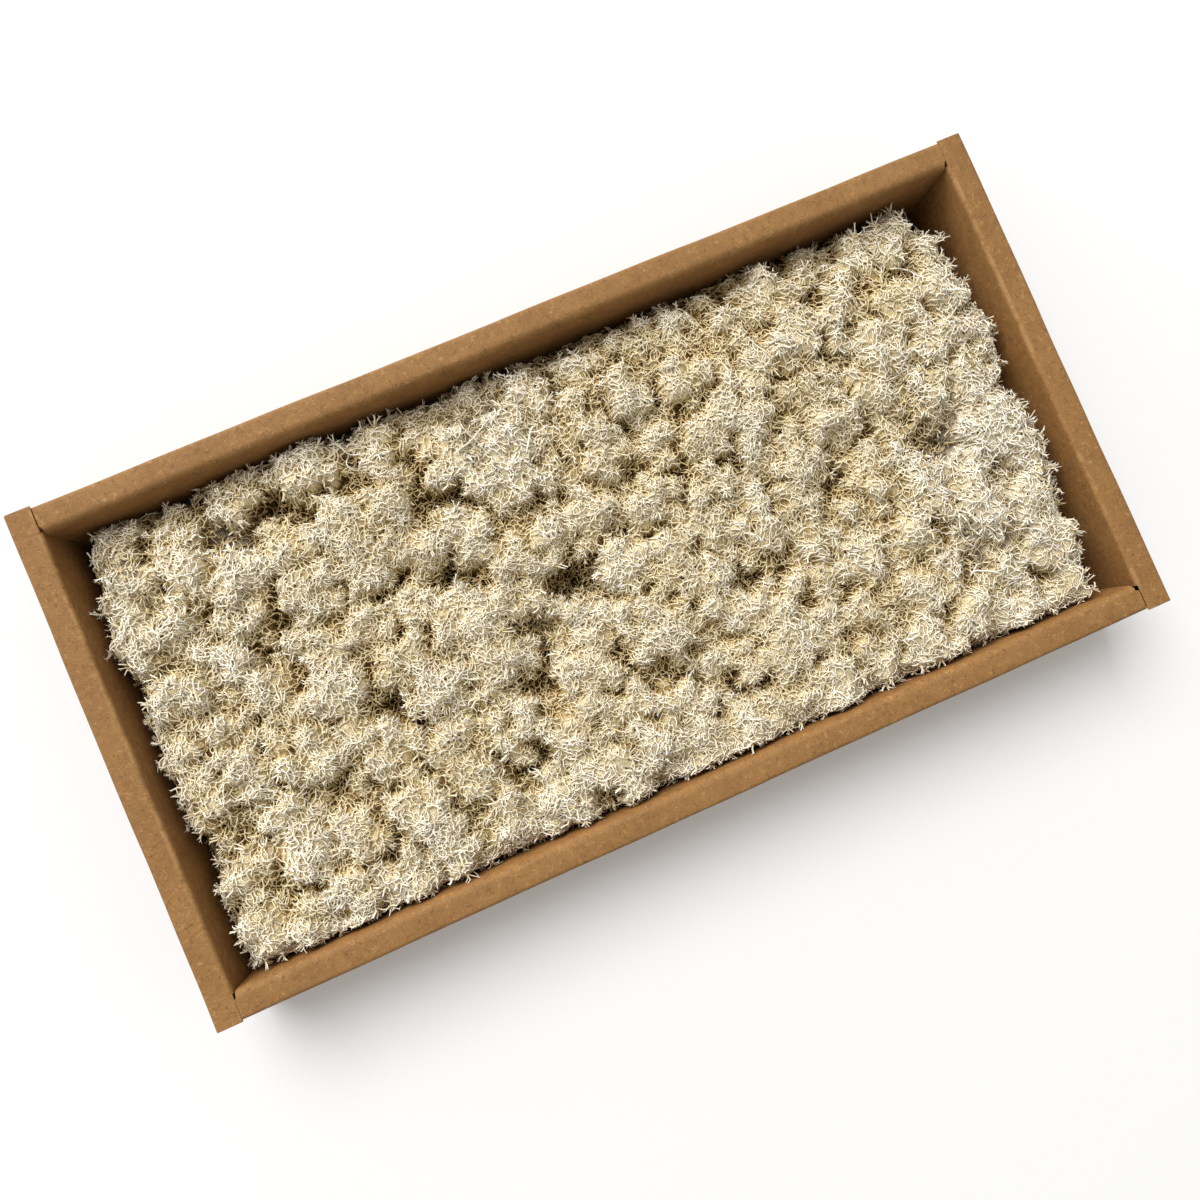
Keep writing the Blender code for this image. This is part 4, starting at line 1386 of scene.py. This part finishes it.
def kraftFinish(name, tones):
    look = Finish(name, {"Roughness": 0.78})
    place = look.add("ShaderNodeTexCoord")["Object"]
    at = look.split(place)
    across, side = look.size(at["X"]), look.size(at["Y"])
    broad = look.noise(place, 28.0, 4.0, 0.6)["Fac"]
    cloud = look.noise(place, 160.0, 3.0, 0.6, 0.6)["Fac"]
    curled = look.pushed(place, look.noise(place, 260.0)["Color"], 0.006)
    fibres = look.cells(curled, 420.0)["Distance"]
    patchy = look.noise(place, 520.0)["Fac"]
    fine = look.noise(place, 2600.0, 3.0, 0.7)["Fac"]
    first, second, clouded, light, dark = (fromScreen(*tone) for tone in tones)
    line = look.between(fibres, 0.055, 0.0)
    body = look.mix(look.between(broad, 0.3, 0.7), first, second)
    for much, colour in (
        (look.between(cloud, 0.35, 0.7) * 0.6, clouded),
        (line * look.between(patchy, 0.50, 0.58) * 0.75, light),
        (line * look.between(patchy, 0.48, 0.40) * 0.8, dark),
        (look.between(fine, 0.56, 0.70) * 0.5, light),
        (look.between(fine, 0.44, 0.30) * 0.5, dark),
    ):
        body = look.mix(much, body, colour)
    # the inner panels are a little redder
    within = look.between(across, 0.1421, 0.1416) * look.between(side, 0.0692, 0.0684)
    body = look.mix(within * 0.45, body, look.mix(1.0, body, (1.06, 0.92, 0.62), "MULTIPLY"))
    # fold edges near the end walls, high up: a little lighter, in patches, partly worn fibre and partly a
    # painted highlight along the fold
    high = look.between(at["Z"], 0.0365, 0.0392)
    wearAndHighlight = look.between(look.size(across - 0.1424), 0.0011, 0.0002) * high * look.between(cloud, 0.45, 0.6)
    look.feed("Base Color", look.mix(wearAndHighlight * 0.5, body, light))
    # the end walls' rims are finely wrinkled across
    sockets = {0: curled, 1: (0.22, 1.0, 1.0)}
    stretched = look.add("ShaderNodeVectorMath", {"operation": "MULTIPLY"}, sockets)[0]
    wrinkle = look.noise(stretched, 900.0, 2.0, 0.6)["Fac"]
    onEnd = look.between(across, 0.1415, 0.1425) * look.between(at["Z"], 0.037, 0.039)
    height = wrinkle * (onEnd * 0.8 + 0.15) + line * 0.22 + fine * 0.25 + cloud * 0.5
    look.feed("Normal", look.bump(height, 0.55, 0.00035))
    return look.material


def everyPanel(value):
    return {panel: value for panel in ("outer", "rim", "inner")}


def makeTray():
    draw = np.random.default_rng(card["seed"])
    shell = bmesh.new()
    longFace = tray["width"] / 2 - card["longSetIn"]
    endFace = tray["length"] / 2
    innerY = longFace - tray["rim"] + card["thickness"]
    longWall = wallPath(longFace, card["longInnerFold"])
    endWall = wallPath(endFace, card["endInnerFold"])
    corner = wallPath(endFace, 0, cut=card["rimSeam"])
    reach = {"outer": card["outerEnd"], "rim": card["rimSeam"] - card["rimGap"], "inner": card["panelEnd"]}
    back = {panel: -value for panel, value in reach.items()}
    for sign in (-1, 1):
        wallSheet(shell, draw, 1, sign, *longWall, back, reach)
        wallSheet(shell, draw, 0, sign, *endWall, everyPanel(-innerY), everyPanel(innerY))
        for end in (-innerY, innerY):
            outside = math.copysign(tray["width"] / 2, end)
            wallSheet(shell, draw, 0, sign, *corner, everyPanel(end), everyPanel(outside))
    half = card["thickness"] / 2 + card["baseFold"]
    sizeX, sizeY = endFace - half, longFace - half
    made = bmesh.ops.create_cube(shell, size=1)
    for vertex in made["verts"]:
        vertex.co.x *= sizeX / 500
        vertex.co.y *= sizeY / 500
        vertex.co.z = (vertex.co.z + 0.5) * card["thickness"] / 1000
    bmesh.ops.recalc_face_normals(shell, faces=shell.faces)
    for face in shell.faces:
        face.smooth = True
    mesh = bpy.data.meshes.new("cardTray")
    shell.to_mesh(mesh)
    shell.free()
    piece = addPiece("cardTray", mesh, kraftFinish("kraftCard", card["tones"]))
    mesh.materials.append(kraftFinish("cardEdge", card["edgeTones"]))
    smooth = piece.modifiers.new("corners", "EDGE_SPLIT")
    smooth.split_angle = math.radians(50)
    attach(piece, "root")
    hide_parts("card_tray")
    print("card folded:", trianglesOf(mesh), "triangles")


makeTray()

# Floor, light and camera
stage = {
    "floorSize": 6.0,
    "floorColour": (0.905, 0.915, 0.93),
    "lightDistance": 3.0,
    "highLight": {"from": (-0.19, 0.63, 1.0), "size": 2.1, "power": 73.0},
    "lowLight": {"from": (-0.34, 0.80, 0.50), "size": 1.7, "power": 76.0},
    "world": (0.54, 0.525, 0.50),
    "lens": 30.0,
    "sensor": 36.0,
    "cameraPlace": (-0.0304, -0.0188, 0.3251),
    "cameraTurn": (-0.0315, 0.0834, 0.4095),
}


def makeLight(name):
    values = stage[name]
    way = Vector(values["from"]).normalized()
    light = bpy.data.lights.new(name, "AREA")
    light.shape = "DISK"
    light.size = values["size"]
    light.energy = values["power"]
    made = bpy.data.objects.new(name, light)
    made.location = way * stage["lightDistance"]
    made.rotation_euler = way.to_track_quat("Z", "Y").to_euler()
    bpy.context.scene.collection.objects.link(made)
    return made


def makeStage():
    bpy.ops.mesh.primitive_plane_add(size=stage["floorSize"])
    floor = bpy.context.object
    floor.name = "studioFloor"
    look = Finish("paleFloor", {"Roughness": 0.9})
    look.feed("Base Color", stage["floorColour"])
    floor.data.materials.append(look.material)

    world = bpy.data.worlds.new("studio")
    world.use_nodes = True
    world.node_tree.nodes["Background"].inputs["Color"].default_value = (*stage["world"], 1.0)
    bpy.context.scene.world = world
    makeLight("highLight")
    low = makeLight("lowLight")
    # the low light is kept off the floor, as a flag would do in a studio
    lit = bpy.data.collections.new("underTheLowLight")
    for piece in addedPieces:
        lit.objects.link(piece)
    low.light_linking.receiver_collection = lit

    camera = bpy.data.cameras.new("photoView")
    camera.lens = stage["lens"]
    camera.sensor_width = stage["sensor"]
    camera.clip_start = 0.01
    eye = bpy.data.objects.new("photoView", camera)
    rx, ry, rz = stage["cameraTurn"]
    turn = Matrix.Rotation(rz, 3, "Z") @ Matrix.Rotation(rx, 3, "X") @ Matrix.Rotation(ry, 3, "Y")
    eye.matrix_world = Matrix.Translation(stage["cameraPlace"]) @ turn.transposed().to_4x4()
    bpy.context.scene.collection.objects.link(eye)
    bpy.context.scene.camera = eye
    bpy.context.scene.view_settings.view_transform = "Standard"
    bpy.context.scene.view_settings.look = "None"


makeStage()
print("stage set")
